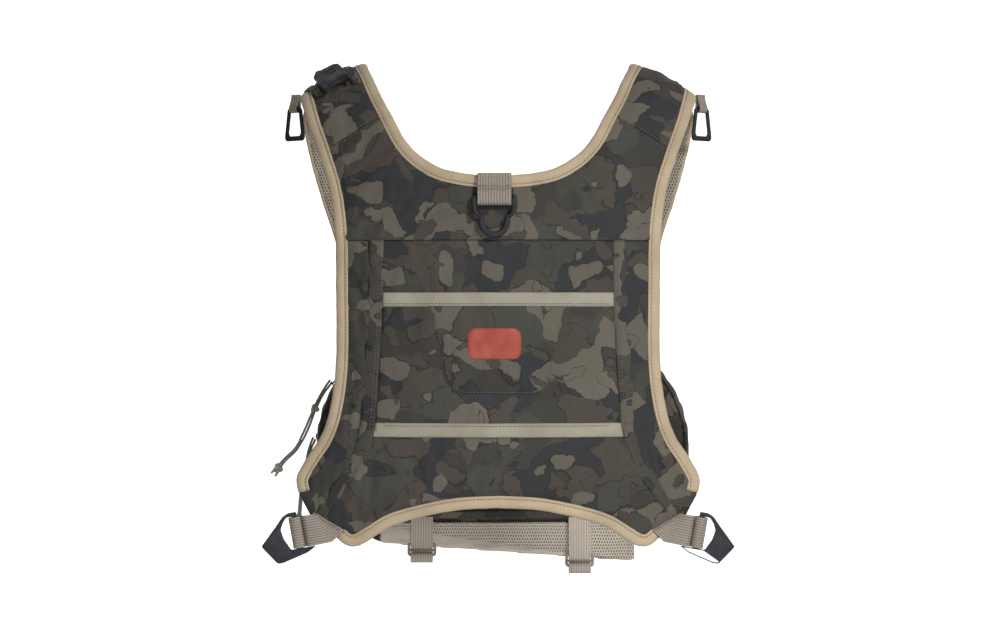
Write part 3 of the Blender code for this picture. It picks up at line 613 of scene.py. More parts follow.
def made_object(name, mesh, slot, body, nodes=(), places=None, look=None):
    """Link a mesh, give it its material, places and body, and hide the CAD nodes it stands for.

    With no body given, its transform is baked into its mesh.
    """
    if places is None:
        places = [v.co for v in mesh.vertices]
    place_points(mesh, places)
    smoothed(mesh)
    obj = link_new(name, mesh)
    mesh.materials.clear()
    mesh.materials.append(look or MATERIALS[slot])
    if isinstance(body, str):
        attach(obj, body)
    else:
        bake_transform(obj)
    if nodes:
        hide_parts(*nodes)
    return obj


def flat_cells(outline, cell):
    """A flat mesh of small square cells inside an outline."""
    bm = bmesh.new()
    bm.faces.new([bm.verts.new((x, y, 0)) for x, y in outline])
    for axis in (0, 1):
        normal = [0, 0, 0]
        normal[axis] = 1
        low, high = outline[:, axis].min(), outline[:, axis].max()
        for step in range(math.ceil(low / cell), math.floor(high / cell) + 1):
            point = [0, 0, 0]
            point[axis] = step * cell
            bmesh.ops.bisect_plane(bm, geom=bm.verts[:] + bm.edges[:] + bm.faces[:], dist=1e-6,
                                   plane_co=point, plane_no=normal)
    bmesh.ops.remove_doubles(bm, verts=bm.verts, dist=0.08 * MM)
    bmesh.ops.triangulate(bm, faces=[f for f in bm.faces if len(f.verts) > 4])
    for face in bm.faces:
        if face.normal.z < 0:
            face.normal_flip()
    return bm


def edge_distance(points, outline):
    """How far each flat point lies from the closed outline."""
    start = outline
    run = np.roll(outline, -1, axis=0) - start
    nearest = np.full(len(points), 1.0)
    for a, d in zip(start, run):
        long = d @ d
        if long < 1e-12:
            continue
        t = np.clip((points - a) @ d / long, 0, 1)
        away = points - a - t[:, None] * d
        nearest = np.minimum(nearest, np.einsum("ij,ij->i", away, away) ** 0.5)
    return nearest


def bumps(flat, across, along, seed):
    """Smooth noise from -1 to 1, stretched along the cloth by the two lengths."""
    return np.array([noise.noise(Vector((x / across, s / along, seed))) for x, s in flat[:, :2]])


def thicken(obj, thickness):
    shell = obj.modifiers.new("thickness", "SOLIDIFY")
    shell.thickness = thickness
    shell.offset = 0


def cloth(name, outline, slot, body, height, shape, thickness=0.8 * MM, nodes=(), cell=4 * MM,
          cut=(0.0, 0.0)):
    """Cloth cut to an outline and bent over the body; shape(flat, edge) adds to its height.

    cut is where on the printed roll the piece was cut, so that the pattern breaks at its seams.
    """
    bm = flat_cells(outline, cell)
    flat = np.array([v.co for v in bm.verts])
    edge = edge_distance(flat[:, :2], outline)
    raised = on_body(flat, height + shape(flat, edge))
    for vert, place in zip(bm.verts, raised):
        vert.co = place
    mesh = bpy.data.meshes.new(name)
    bm.to_mesh(mesh)
    bm.free()
    obj = made_object(name, mesh, slot, body, nodes, places=flat + (*cut, 0.0))
    thicken(obj, thickness)
    return obj


def ring_mesh(name, rings, closed=True):
    """A skin over rows of points, each row a closed ring; open rows of rings get end caps."""
    count, around = len(rings), len(rings[0])
    points = np.concatenate(rings)
    faces = []
    for i in range(count - 1):
        for j in range(around if closed else around - 1):
            k = (j + 1) % around
            faces.append((i * around + j, i * around + k, (i + 1) * around + k, (i + 1) * around + j))
    if closed:
        faces.append(tuple(range(around))[::-1])
        faces.append(tuple((count - 1) * around + j for j in range(around)))
    mesh = bpy.data.meshes.new(name)
    mesh.from_pydata([tuple(p) for p in points], [], faces)
    turn_outward(mesh)
    return mesh


def turn_outward(mesh, weld=None):
    """Turn the faces outwards, after welding points closer than a given distance."""
    bm = bmesh.new()
    bm.from_mesh(mesh)
    if weld:
        bmesh.ops.remove_doubles(bm, verts=bm.verts, dist=weld)
    bmesh.ops.recalc_face_normals(bm, faces=bm.faces)
    bm.to_mesh(mesh)
    bm.free()


def run_of(line):
    """Distance travelled at each point of a line."""
    steps = np.linalg.norm(np.diff(line, axis=0), axis=1)
    return np.concatenate([[0], np.cumsum(steps)])


def resampled(line, step):
    run = run_of(line)
    count = max(2, round(run[-1] / step) + 1)
    at = np.linspace(0, run[-1], count)
    return np.stack([np.interp(at, run, line[:, i]) for i in range(line.shape[1])], -1)


# --- bindings -------------------------------------------------------------------------------------
# Cross-section of a folded tape: share of the width from the rim, and height in millimetres.
BINDING_SECTION = [(0.9, -0.3), (1.0, 0.9), (0.94, 1.45), (0.84, 1.45), (0.78, 1.05), (0.73, 1.05),
                   (0.66, 1.6), (0.45, 2.0), (0.24, 1.85), (0.09, 1.3), (0.015, 0.4), (0.0, -0.6),
                   (0.03, -1.5), (0.12, -2.3), (0.24, -2.6), (0.36, -2.3), (0.40, -1.2)]
STITCH_SHARE = 0.755            # where the stitch groove runs, as a share of the width
STITCH_HEIGHT = 1.35 * MM
TUCK = 1.5 * MM                 # how far the cloth reaches under its binding


def binding(name, line, widths, inward, nodes, body, seed):
    """Folded tape along a cloth edge; inward is +1 if the cloth lies to the line's left."""
    line = resampled(np.column_stack([line, widths]), 3 * MM)
    line, widths = line[:, :2], line[:, 2]
    left = normals_of(line) * inward
    run = run_of(line)
    rings, places = [], []
    for share, height in BINDING_SECTION:
        wave = np.array([noise.noise(Vector((r / 0.011, share * 3, seed))) for r in run])
        pucker = np.array([noise.noise(Vector((r / 0.005, share * 2, seed + 7))) for r in run])
        flat = line + left * (widths * share + wave * 0.35 * MM * (1 - share))[:, None]
        top = 1.0 if height > 0 else 0.3
        rings.append(on_body(flat, height * MM + top * pucker * 0.22 * MM))
        places.append(np.stack([run, np.full(len(run), share * 10 * MM + (height < 0) * 20 * MM),
                                np.zeros(len(run))], -1))
    rings = np.stack(rings, 1)
    mesh = ring_mesh(name, list(rings))
    places = np.stack(places, 1).reshape(-1, 3)
    return made_object(name, mesh, "tan_binding", body, nodes, places=places)


def strap_widths(line):
    return BINDING_WIDTH + (STRAP_RIM - BINDING_WIDTH) * ease((line[:, 1] + 0.02) / 0.04)


def stitch_line(line, widths, inward):
    """Points just above the stitch groove of a binding."""
    flat = offset_line(line, widths * STITCH_SHARE * inward)
    return on_body(flat, np.full(len(flat), STITCH_HEIGHT))


def add_bar(points, faces, stations, side, up):
    """Add a thin six-sided bar through stations, each a centre and a radius; returns its first point."""
    around = 6
    first = len(points)
    for centre, radius in stations:
        for turn in np.arange(around) * 2 * math.pi / around:
            points.append(centre + (side * math.cos(turn) + up * math.sin(turn)) * radius)
    for low in range(first, len(points) - around, around):
        for j in range(around):
            k = (j + 1) % around
            faces.append((low + j, low + k, low + around + k, low + around + j))
    return first


# One stitch: share of its length, and share of the thread's radius there.
STITCH = [(0.0, 0.35), (0.18, 0.9), (0.5, 1.0), (0.82, 0.9), (1.0, 0.35)]
STITCH_PITCH = 3.1 * MM
STITCH_LENGTH = 2.1 * MM
THREAD_RADIUS = 0.34 * MM


def stitches(name, lines, colour, body, radius=THREAD_RADIUS):
    """Thread dashes along lines in space, all in one mesh."""
    points, faces = [], []
    for line in lines:
        line = resampled(np.asarray(line), STITCH_PITCH)
        for a, b in zip(line, line[1:]):
            run = (b - a) / np.linalg.norm(b - a)
            side = np.cross(run, (0.31, 0.42, 0.85))
            side /= np.linalg.norm(side)
            stations = [(a + run * STITCH_LENGTH * share, radius * thick) for share, thick in STITCH]
            add_bar(points, faces, stations, side, np.cross(side, run))
    mesh = bpy.data.meshes.new(name)
    mesh.from_pydata([tuple(p) for p in points], [], faces)
    return made_object(name, mesh, None, body, look=THREADS[colour])


def bindings():
    neck = np.concatenate([mirrored(NECK)[::-1], NECK[1:]])
    widths = strap_widths(neck)
    binding("neck_tape", neck, widths, -1,
            ["neck_binding", "strap_binding_inner_left", "strap_binding_inner_right"], None, 3.0)
    lines = [stitch_line(neck, widths, -1)]
    for side, word in SIDES:
        arm = on_side(ARM, side)
        binding(f"arm_tape_{word}", arm, strap_widths(arm), side,
                [f"arm_binding_{word}", f"strap_binding_outer_{word}"], None, 11.0 + side)
        lines.append(stitch_line(arm, strap_widths(arm), side))
    stitches("tape_stitches", lines, "tan", None)
    hem = np.concatenate([HEM, mirrored(HEM)[::-1][1:]])
    widths = np.full(len(hem), BINDING_WIDTH)
    binding("hem_tape", hem, widths, -1, ["hem_binding"], "back", 19.0)
    stitches("hem_stitches", [stitch_line(hem, widths, -1)], "tan", "back")


# --- back and shoulder cloth ----------------------------------------------------------------------
def under_trims(flat):
    """1 where the shell lies open, 0 where the pocket and its tapes cover it."""
    s = flat[:, 1]
    above = ease((s - TAPE_TOP) / (9 * MM))
    below = ease((TAPE_BOTTOM - TAPE_WIDTH - s) / (9 * MM))
    inside = np.abs(flat[:, 0]) < 0.104
    return np.where(inside, np.maximum(above, below), 1.0)


def crumple(flat, across, along, seed):
    """Irregular creases from 0 to about 1: soft folds with some sharper crests."""
    bend = 0.5 * bumps(flat, 2.5 * across, 2.5 * along, seed + 20)[:, None] * (across, along)
    moved = flat[:, :2] + bend
    soft = bumps(moved, across, along, seed)
    crest = 1 - np.minimum(np.abs(bumps(moved, 1.4 * across, 1.4 * along, seed + 5)) * 4.5, 1)
    return 0.35 + 0.6 * soft + 0.35 * crest ** 2


def yoke_shape(flat, edge):
    """Gathers above the yoke's seam, drag lines from the straps, and its lower edge standing proud.

    The sewn neck loop holds the cloth flat round it.
    """
    q = flat[:, 1] - YOKE_SEAM
    x = flat[:, 0]
    gathers = np.exp(-q / (9 * MM)) * np.sin(x * 2 * np.pi / (8.3 * MM) + 3 * bumps(flat, 0.03, 0.03, 1.3))
    folds = crumple(flat, 0.024, 0.010, 4.2) * 3.6 * MM
    lean = np.stack([np.abs(x) * 0.8 + flat[:, 1] * 0.6, np.abs(x) * 0.6 - flat[:, 1] * 0.8], -1)
    outer = ease((np.abs(x) - 0.045) / 0.04)
    folds = folds * (1 - 0.6 * outer) + crumple(lean, 0.010, 0.032, 2.9) * 3.4 * MM * outer
    held = np.exp(-((x - LOOP_X) / (24 * MM)) ** 4 - ((flat[:, 1] + 183 * MM) / (22 * MM)) ** 4)
    folds = folds * (1 - held)
    soft = ease(edge / (7 * MM))
    rolled = np.exp(-((q - 2 * MM) / (2.5 * MM)) ** 2) * 0.9 * MM
    return soft * (gathers * 0.8 * MM + folds - 0.3 * MM) + rolled


def shoulder_shape(flat, edge):
    seam = np.abs(np.array([side_of(SHOULDER_SEAM)(p) for p in np.abs(flat[:, :2]) * (1, -1)]))
    gathers = np.exp(-seam / (9 * MM)) * bumps(flat, 0.007, 0.02, 2.6)
    folds = crumple(flat, 0.012, 0.026, 5.7) * 3.4 * MM
    return ease(edge / (7 * MM)) * (gathers * 1.2 * MM + folds - 0.3 * MM)


def panel_shape(flat, edge):
    q = YOKE_SEAM - flat[:, 1]
    gathers = np.exp(-q / (8 * MM)) * np.sin(flat[:, 0] * 2 * np.pi / (9.1 * MM))
    low = ease((-0.370 - flat[:, 1]) / 0.02)
    folds = crumple(flat, 0.013, 0.030, 6.4) * (2.2 + 1.8 * low) * MM
    return ease(edge / (6 * MM)) * under_trims(flat) * (gathers * 0.8 * MM + folds - 0.2 * MM)


def side_shape(flat, edge):
    """Long crumpled folds that run down the side panels and fan out towards the lower corners."""
    q = YOKE_SEAM - flat[:, 1]
    hand = np.sign(flat[0, 0])
    lean = flat.copy()
    lean[:, 0] = np.abs(lean[:, 0]) + 0.25 * np.minimum(lean[:, 1] + 0.36, 0)
    folds = crumple(lean, 0.009, 0.026, 9.3 + hand) * 4.2 * MM
    folds += bumps(lean, 0.012, 0.011, 3.8 + hand) * 1.4 * MM
    gathers = np.exp(-q / (10 * MM)) * np.sin(flat[:, 0] * 2 * np.pi / (7 * MM)) * 1.2 * MM
    return ease(edge / (6 * MM)) * (folds + gathers - 0.2 * MM)


def pocket_shape(flat):
    """The flat pocket swells a little; its trims, patch and label follow it."""
    middle = (TAPE_TOP + TAPE_BOTTOM) / 2
    across = 1 - ease((np.abs(flat[:, 0]) - 0.045) / 0.05)
    down = 1 - ease((np.abs(flat[:, 1] - middle) - 0.018) / 0.036)
    folds = (crumple(flat, 0.020, 0.034, 7.2) - 0.3) * 2.6 * MM
    return across * down * 1.4 * MM + ease((0.095 - np.abs(flat[:, 0])) / 0.02) * folds


def trim_shape(flat, edge):
    """Soft turned-in edges on a trim lying over the pocket."""
    return pocket_shape(flat) - 0.7 * MM * (1 - ease(edge / (1.6 * MM)))


def band_shape(flat, edge):
    return 0.4 * MM * bumps(flat, 0.02, 0.03, 5.5) - 0.7 * MM * (1 - ease(edge / (1.8 * MM)))


def lining_shape(flat, edge):
    quilt = 0.8 * MM * bumps(flat, 0.030, 0.030, 4.4)
    return ease(edge / (8 * MM)) * (quilt - 0.4 * MM) + 0.7 * MM * (1 - ease(edge / (2.5 * MM)))


def shoulder_cloth():
    """Shoulder panels from the diagonal seam, over the top and down the front straps."""
    seam = side_of(SHOULDER_SEAM)
    neck = offset_line(NECK, -(strap_widths(NECK) - TUCK))
    arm = offset_line(ARM, strap_widths(ARM) - TUCK)
    inner = part_of(neck, seam)
    outer = part_of(arm, seam)
    outline = np.concatenate([inner, outer[::-1]])
    for side, word in SIDES:
        cloth(f"shoulder_cloth_{word}", on_side(outline, side), "camo_cloth", None, SHELL,
              shoulder_shape, nodes=[f"shoulder_{word}", f"front_strap_{word}"], cell=3 * MM,
              cut=(side * 0.7, 1.9))


def lining():
    corner = side_of(CORNER_SEAM, -6 * MM)
    half = np.concatenate([offset_line(NECK, np.full(len(NECK), -2.2 * MM)),
                           part_of(offset_line(ARM, 2.2 * MM), corner)[::-1],
                           part_of(offset_line(HEM, -2.2 * MM), corner)])
    cloth("mesh_lining", whole(half), "spacer_mesh", None, LINING, lining_shape, 2.2 * MM,
          ["back_lining", "strap_mesh_left", "strap_mesh_right"], cell=6 * MM)


def back_cloth():
    seam = side_of(SHOULDER_SEAM)
    corner = side_of(CORNER_SEAM, -6 * MM)
    neck = offset_line(NECK, TUCK - BINDING_WIDTH)
    arm = offset_line(ARM, BINDING_WIDTH - TUCK)
    hem = offset_line(HEM, TUCK - BINDING_WIDTH)
    above = lambda p: p[1] - YOKE_SEAM
    under = lambda p: YOKE_SEAM - p[1]
    back = lambda p: -90 * MM - p[1]
    yoke = np.concatenate([part_of(neck, lambda p: -seam(p), back),
                           part_of(arm, back, lambda p: -seam(p), above)[::-1],
                           [(0, YOKE_SEAM)]])
    cloth("yoke_cloth", whole(yoke), "camo_cloth", "back", SHELL + 0.4 * MM, yoke_shape,
          nodes=["back_yoke"], cell=3 * MM, cut=(3.1, 0.6))
    divide = offset_line(BAND, BAND_WIDTH / 2)
    middle = np.concatenate([[(0, YOKE_SEAM)], part_of(divide, under, corner), part_of(hem, corner)])
    cloth("panel_cloth", whole(middle), "camo_cloth", "back", SHELL, panel_shape, nodes=["back_panel"],
          cell=3 * MM, cut=(5.2, 2.7))
    tip = [(159, -417), (166, -418)] + CORNER_TIP
    outline = np.concatenate([part_of(divide, under, corner)[::-1], part_of(arm, under, corner)[::-1],
                              np.array(tip) * MM])
    for side, word in SIDES:
        cloth(f"side_cloth_{word}", on_side(outline, side), "camo_cloth", "back", SHELL, side_shape,
              nodes=[f"side_panel_{word}"], cell=2.5 * MM, cut=(7.3 + side, 4.2))


def back_trims():
    corner = side_of(CORNER_SEAM)
    inner = part_of(BAND, corner)
    outer = part_of(offset_line(BAND, BAND_WIDTH), corner)
    outline = np.concatenate([outer, inner[::-1]])
    for side, word in SIDES:
        cloth(f"band_cloth_{word}", on_side(outline, side), "camo_cloth", "back", TRIMS, band_shape,
              nodes=[f"side_band_{word}"], cell=3 * MM, cut=(9.4 + side, 0.3))
    rows = {
        "tape_upper": (TAPE_TOP, TAPE_TOP - TAPE_WIDTH, "khaki_tape", "pocket_tape_upper", 0.5),
        "pocket_cloth": (TAPE_TOP - TAPE_WIDTH + 2 * MM, TAPE_BOTTOM - 2 * MM, "camo_cloth",
                         "back_pocket", 0),
        "tape_lower": (TAPE_BOTTOM, TAPE_BOTTOM - TAPE_WIDTH, "khaki_tape", "pocket_tape_lower", 0.5),
    }
    for name, (high, low, slot, node, lift) in rows.items():
        half = part_of(BAND, lambda p: high - p[1], lambda p: p[1] - low)[::-1]
        half = np.concatenate([[(0, low)], half, [(0, high)]])
        cloth(name, whole(half), slot, "back", TRIMS - 0.4 * MM + lift * MM, trim_shape, nodes=[node],
              cell=3 * MM, cut=(11.5, 6.6))
    top = TAPE_TOP - TAPE_WIDTH + 1 * MM
    half = np.array([(0, -337.5), (27, -337.5), (35, -335), (41, -327)]) * MM
    half = np.concatenate([half, [(56 * MM, top), (0, top)]])
    cloth("patch_cloth", whole(half), "camo_cloth", "back", PATCH - 0.9 * MM, trim_shape,
          nodes=["pocket_patch"], cell=3 * MM, cut=(4.4, 8.5))
    cloth("label_plain", oblong(44 * MM, 26 * MM, 7 * MM, (-3 * MM, -296 * MM)), "orange_print", "back",
          LABEL - 1.1 * MM, trim_shape, 0.5 * MM, nodes=["plain_label"], cell=2 * MM)


def level_line(half, s):
    """A line straight across the cloth, half its length to each side of the middle."""
    xs = np.arange(-half, half, 3 * MM)
    return np.stack([xs, np.full(len(xs), s)], -1)


def back_seams():
    """Rows of stitching on the back's own cloth."""
    lines = []
    for rise in (2.2 * MM, 6.2 * MM):
        flat = level_line(125 * MM, YOKE_SEAM + rise)
        lines.append(on_body(flat, np.full(len(flat), 1.15 * MM)))
    seam = np.array(SHOULDER_SEAM) * MM
    for side in (1, -1):
        for rise in (-2 * MM, 2 * MM):
            flat = resampled(seam * (side, 1), 3 * MM) + (0, rise)
            lines.append(on_body(flat, np.full(len(flat), 0.9 * MM)))
        for inset in (1.4 * MM, 3.6 * MM):
            flat = part_of(offset_line(BAND, inset), side_of(CORNER_SEAM)) * (side, 1)
            lines.append(on_body(flat, np.full(len(flat), TRIMS + 0.6 * MM)))
    stitches("back_stitches", lines, "olive", "back")
    lines = []
    for level in (TAPE_TOP - TAPE_WIDTH + 2.2 * MM, TAPE_BOTTOM - 2.2 * MM):
        flat = level_line(94 * MM, level)
        lines.append(on_body(flat, TRIMS + 0.6 * MM + pocket_shape(flat)))
    top = TAPE_TOP - TAPE_WIDTH - 1 * MM
    patch = np.array([(54 * MM, top), (39.5 * MM, -326 * MM), (34 * MM, -333.5 * MM),
                      (27 * MM, -336 * MM)])
    patch = np.concatenate([patch, mirrored(patch)[::-1]])
    flat = resampled(patch, 3 * MM)
    lines.append(on_body(flat, PATCH - 0.4 * MM + pocket_shape(flat)))
    stitches("pocket_stitches", lines, "olive", "back")


# --- plates, tubes and webbing --------------------------------------------------------------------
def mesh_from_curve(name, curve, matrix=Matrix.Identity(4)):
    source = link_new(name + "_source", curve)
    bpy.context.view_layer.update()
    mesh = bpy.data.meshes.new_from_object(source.evaluated_get(bpy.context.evaluated_depsgraph_get()))
    bpy.data.objects.remove(source)
    turn_outward(mesh, weld=0.01 * MM)
    mesh.transform(matrix)
    return mesh


def plate_mesh(name, outlines, thickness, edge, matrix):
    """Flat solid with rounded edges from closed outlines in its own XY plane."""
    curve = bpy.data.curves.new(name, "CURVE")
    curve.dimensions = "2D"
    curve.fill_mode = "BOTH"
    curve.extrude = thickness / 2 - edge
    curve.bevel_depth = edge
    curve.bevel_resolution = 3
    curve.offset = -edge
    for outline in outlines:
        spline = curve.splines.new("POLY")
        spline.points.add(len(outline) - 1)
        for point, place in zip(spline.points, outline):
            point.co = (place[0], place[1], 0, 1)
        spline.use_cyclic_u = True
    return mesh_from_curve(name, curve, matrix)


def plate(name, outlines, thickness, edge, slot, body, matrix, nodes=()):
    mesh = plate_mesh(name, outlines, thickness, edge, matrix)
    obj = made_object(name, mesh, slot, body, nodes)
    mesh.set_sharp_from_angle(angle=math.radians(40))
    return obj


def tube_curve(name, points, diameter, closed=False, resolution=4):
    curve = bpy.data.curves.new(name, "CURVE")
    curve.dimensions = "3D"
    curve.bevel_depth = diameter / 2
    curve.bevel_resolution = resolution
    curve.use_fill_caps = not closed
    spline = curve.splines.new("POLY")
    spline.points.add(len(points) - 1)
    for point, place in zip(spline.points, points):
        point.co = (*place, 1)
    spline.use_cyclic_u = closed
    return curve


def tube_mesh(name, points, diameter, closed=False, resolution=4):
    return mesh_from_curve(name, tube_curve(name, points, diameter, closed, resolution))


def joined(name, meshes):
    """Several meshes as one."""
    bm = bmesh.new()
    for mesh in meshes:
        bm.from_mesh(mesh)
    made = bpy.data.meshes.new(name)
    bm.to_mesh(made)
    bm.free()
    return made


def webbing(name, rows, body, nodes, thickness=1.3 * MM, cells=10, slot="taupe_webbing", look=None):
    """Flat strap through rows, each a pair of points at its two edges."""
    rows = np.asarray(rows, float)
    middle = rows.mean(axis=1)
    run = run_of(middle)
    shares = np.linspace(0, 1, cells + 1)
    points = rows[:, :1] * (1 - shares)[None, :, None] + rows[:, 1:] * shares[None, :, None]
    width = np.linalg.norm(rows[0, 1] - rows[0, 0])
    mesh = ring_mesh(name, list(points), closed=False)
    places = np.stack(np.broadcast_arrays(shares[None] * width, run[:, None], 0.0), -1).reshape(-1, 3)
    obj = made_object(name, mesh, slot, body, nodes, places=places, look=look)
    thicken(obj, thickness)
    soften = obj.modifiers.new("edges", "BEVEL")
    soften.width = 0.35 * MM
    soften.segments = 2
    soften.limit_method = "ANGLE"
    return obj


def zigzag(a, b, width, count, out):
    """A bartack: thread going to and fro between two long edges."""
    a, b, out = (np.asarray(v, float) for v in (a, b, out))
    side = np.cross(b - a, out)
    side /= np.linalg.norm(side)
    return np.array([a + (b - a) * i / count + side * width * (0.5 if i % 2 else -0.5)
                     for i in range(count + 1)])


def thread_tube(name, line, body, diameter):
    mesh = tube_mesh(name, line, diameter, resolution=1)
    return made_object(name, mesh, None, body, look=THREADS["pale"])


def standing(x, y, z):
    """A frame that stands upright: its X across, its Y up and its Z towards the back."""
    axes = Matrix(((1, 0, 0), (0, 0, -1), (0, 1, 0))).to_4x4()
    return Matrix.Translation((x, y, z)) @ axes


def placed(matrix, points):
    """Local points carried by a frame."""
    return np.array([matrix @ Vector(p) for p in points])


# --- hardware on the back -------------------------------------------------------------------------
# The front of a webbing loop above its eye: share of the eye's radius, and share of the length.
LOOP_FRONT = [(1.0, 0.12), (0.45, 0.42), (0.05, 0.62), (-0.1, 0.85), (-0.1, 1.0)]


def loop_rows(matrix, width, eye, length, back):
    """Edge pairs of a webbing loop: down the back, round the eye and up the front."""
    radius = eye / 2 + back / 2
    line = [(-radius, length)]
    line += [(-radius, length * (1 - i / 8)) for i in range(1, 9)]
    line += [(radius * math.cos(a), radius * math.sin(a))
             for a in (math.pi + math.pi * i / 12 for i in range(1, 13))]
    line += [(radius * depth, length * rise) for depth, rise in LOOP_FRONT]
    half = width / 2
    return [placed(matrix, [(-half, y, depth), (half, y, depth)]) for depth, y in line]


def neck_ring():
    """Webbing loop sewn below the neck, and the ring that swings in it."""
    eye = 5.2 * MM
    strap = 1.2 * MM
    cloth_top = 1.6 * MM
    matrix = frame_on_body(LOOP_X, -179 * MM, cloth_top + GAP + strap + eye / 2)
    length = 23 * MM
    webbing("neck_webbing", loop_rows(matrix, WEBBING_WIDTH, eye, length, strap), "back",
            ["neck_loop"], thickness=strap, cells=12)
    lines = []
    depths, rises = zip(*LOOP_FRONT)
    for row in (9 * MM, 11.8 * MM):
        proud = 0.9 * MM + 3.2 * MM * np.interp(row / length, rises, depths)
        a, b = placed(matrix, [(-12.5 * MM, row, proud), (12.5 * MM, row, proud)])
        lines.append(zigzag(a, b, 2.2 * MM, 26, matrix.col[2].xyz))
    thread_tube("neck_bartack", np.concatenate([lines[0], lines[1][::-1]]), "back", diameter=0.75 * MM)
    outer = [(14.7, 1.7), (14.7, 4.5), (17.2, 4.5), (18.5, 3.2), (18.5, -8), (15.2, -13.6)]
    inner = [(14.3, -1.7), (14.3, -8.5), (10.6, -13.2)]
    outlines = []
    for half, radius, turn in ((outer, 13 * MM, 3 * MM), (inner, 8.4 * MM, 1.6 * MM)):
        # Bar and legs from their right half, then the bend below them.
        corners = rounded(np.array([(-x, y) for x, y in half[::-1]] + half) * MM, turn)
        bend = arc((0, -17.3 * MM), radius, 0, -math.pi, 20)
        split = len(corners) - np.argmax(corners[::-1, 0] < 0)
        outlines.append(np.concatenate([corners[split:], bend, corners[:split]]))
    plate("net_ring_plastic", outlines, 3.6 * MM, 1.5 * MM, "black_plastic", "net_ring", matrix,
          ["net_ring"])


def hook_frame(side):
    """Frame on the axis of a hook's bar, 6 mm behind the cloth."""
    y = worn(np.array([160 * MM]), np.array([CORNER_SEAM[1][1] * MM]))[0, 1] - 6 * MM
    tilt = Matrix.Rotation(side * ROLL_TILT, 4, "Y")
    return Matrix.Translation((side * 167.5 * MM, y, -384 * MM)) @ tilt @ standing(0, 0, 0)


def corner_hooks():
    """Webbing sewn under each lower corner, creased and rolled round the bar of its hook."""
    for side, word in SIDES:
        matrix = hook_frame(side)
        hem_a, hem_b = (on_body([(side * p[0] * MM, p[1] * MM)], [1.2 * MM])[0] for p in CORNER_SEAM)
        half = 13 * MM
        roll = 4.7 * MM
        lip = on_body([(side * 137 * MM, -461 * MM)], [3.0 * MM])[0]
        top, low = placed(matrix, [(-side * 9 * MM, half, 4 * MM), (-side * 9 * MM, -half, 4 * MM)])
        rows = [(hem_b, hem_a)]
        # From the seam to the hook; the lower edge first follows the binding's lip.
        for i in range(1, 13):
            t = i / 12
            corner = hem_a + (lip - hem_a) * min(1, t * 4)
            lower = corner + (low - corner) * max(0, (t - 0.25) / 0.75)
            swell = np.array([0, -1.6 * MM * math.sin(math.pi * t), 0])
            rows.append((hem_b * (1 - t) + top * t + swell, lower + swell))
        for x, z in ((-7.2, 2.5), (-6.0, 0.0), (-5.0, -2.0)):
            edges = [(side * x * MM, turn, z * MM) for turn in (half, -half)]
            rows.append(tuple(placed(matrix, edges)))
        for i in range(18):
            angle = math.radians(215 + i * 18)
            x, z = side * roll * math.cos(angle), roll * math.sin(angle)
            rows.append(tuple(placed(matrix, [(x, half, z), (x, -half, z)])))
        webbing(f"corner_webbing_{word}", rows, "back", [f"corner_strap_{word}"], cells=12)
        tacks = resampled(np.array(CORNER_SEAM) * MM * (side, 1), 2 * MM)
        tacks = on_body(tacks, np.full(len(tacks), 2.9 * MM)) + (side * 2.6 * MM, 0, 0.8 * MM)
        line = zigzag(tacks[0], tacks[-1], 2.6 * MM, 26, (0, -1, 0))
        thread_tube(f"corner_bartack_{word}", line, "back", diameter=0.65 * MM)
        outer = [(-2, 17), (5, 17), (10, 14.8), (15, 9.5), (31.6, -6.7), (20.5, -23.1), (16, -23.3),
                 (-6, -18), (-12.6, -14.4), (-12.2, -13.6), (-2, -13.6)]
        window = [(2, 13.6), (7, 13.6), (11, 9), (13.4, 4), (12, -4), (7.4, -13.6), (2, -13.6)]
        turn = np.array([side, 1]) * MM
        outlines = [rounded(np.array(outer) * turn, 1.6 * MM), rounded(np.array(window) * turn, 1.2 * MM)]
        plate(f"hook_plastic_{word}", outlines, 3.4 * MM, 0.8 * MM, "black_plastic", f"hook_{word}",
              matrix, [f"hook_{word}"])


DOCK_TURN = math.radians(15)


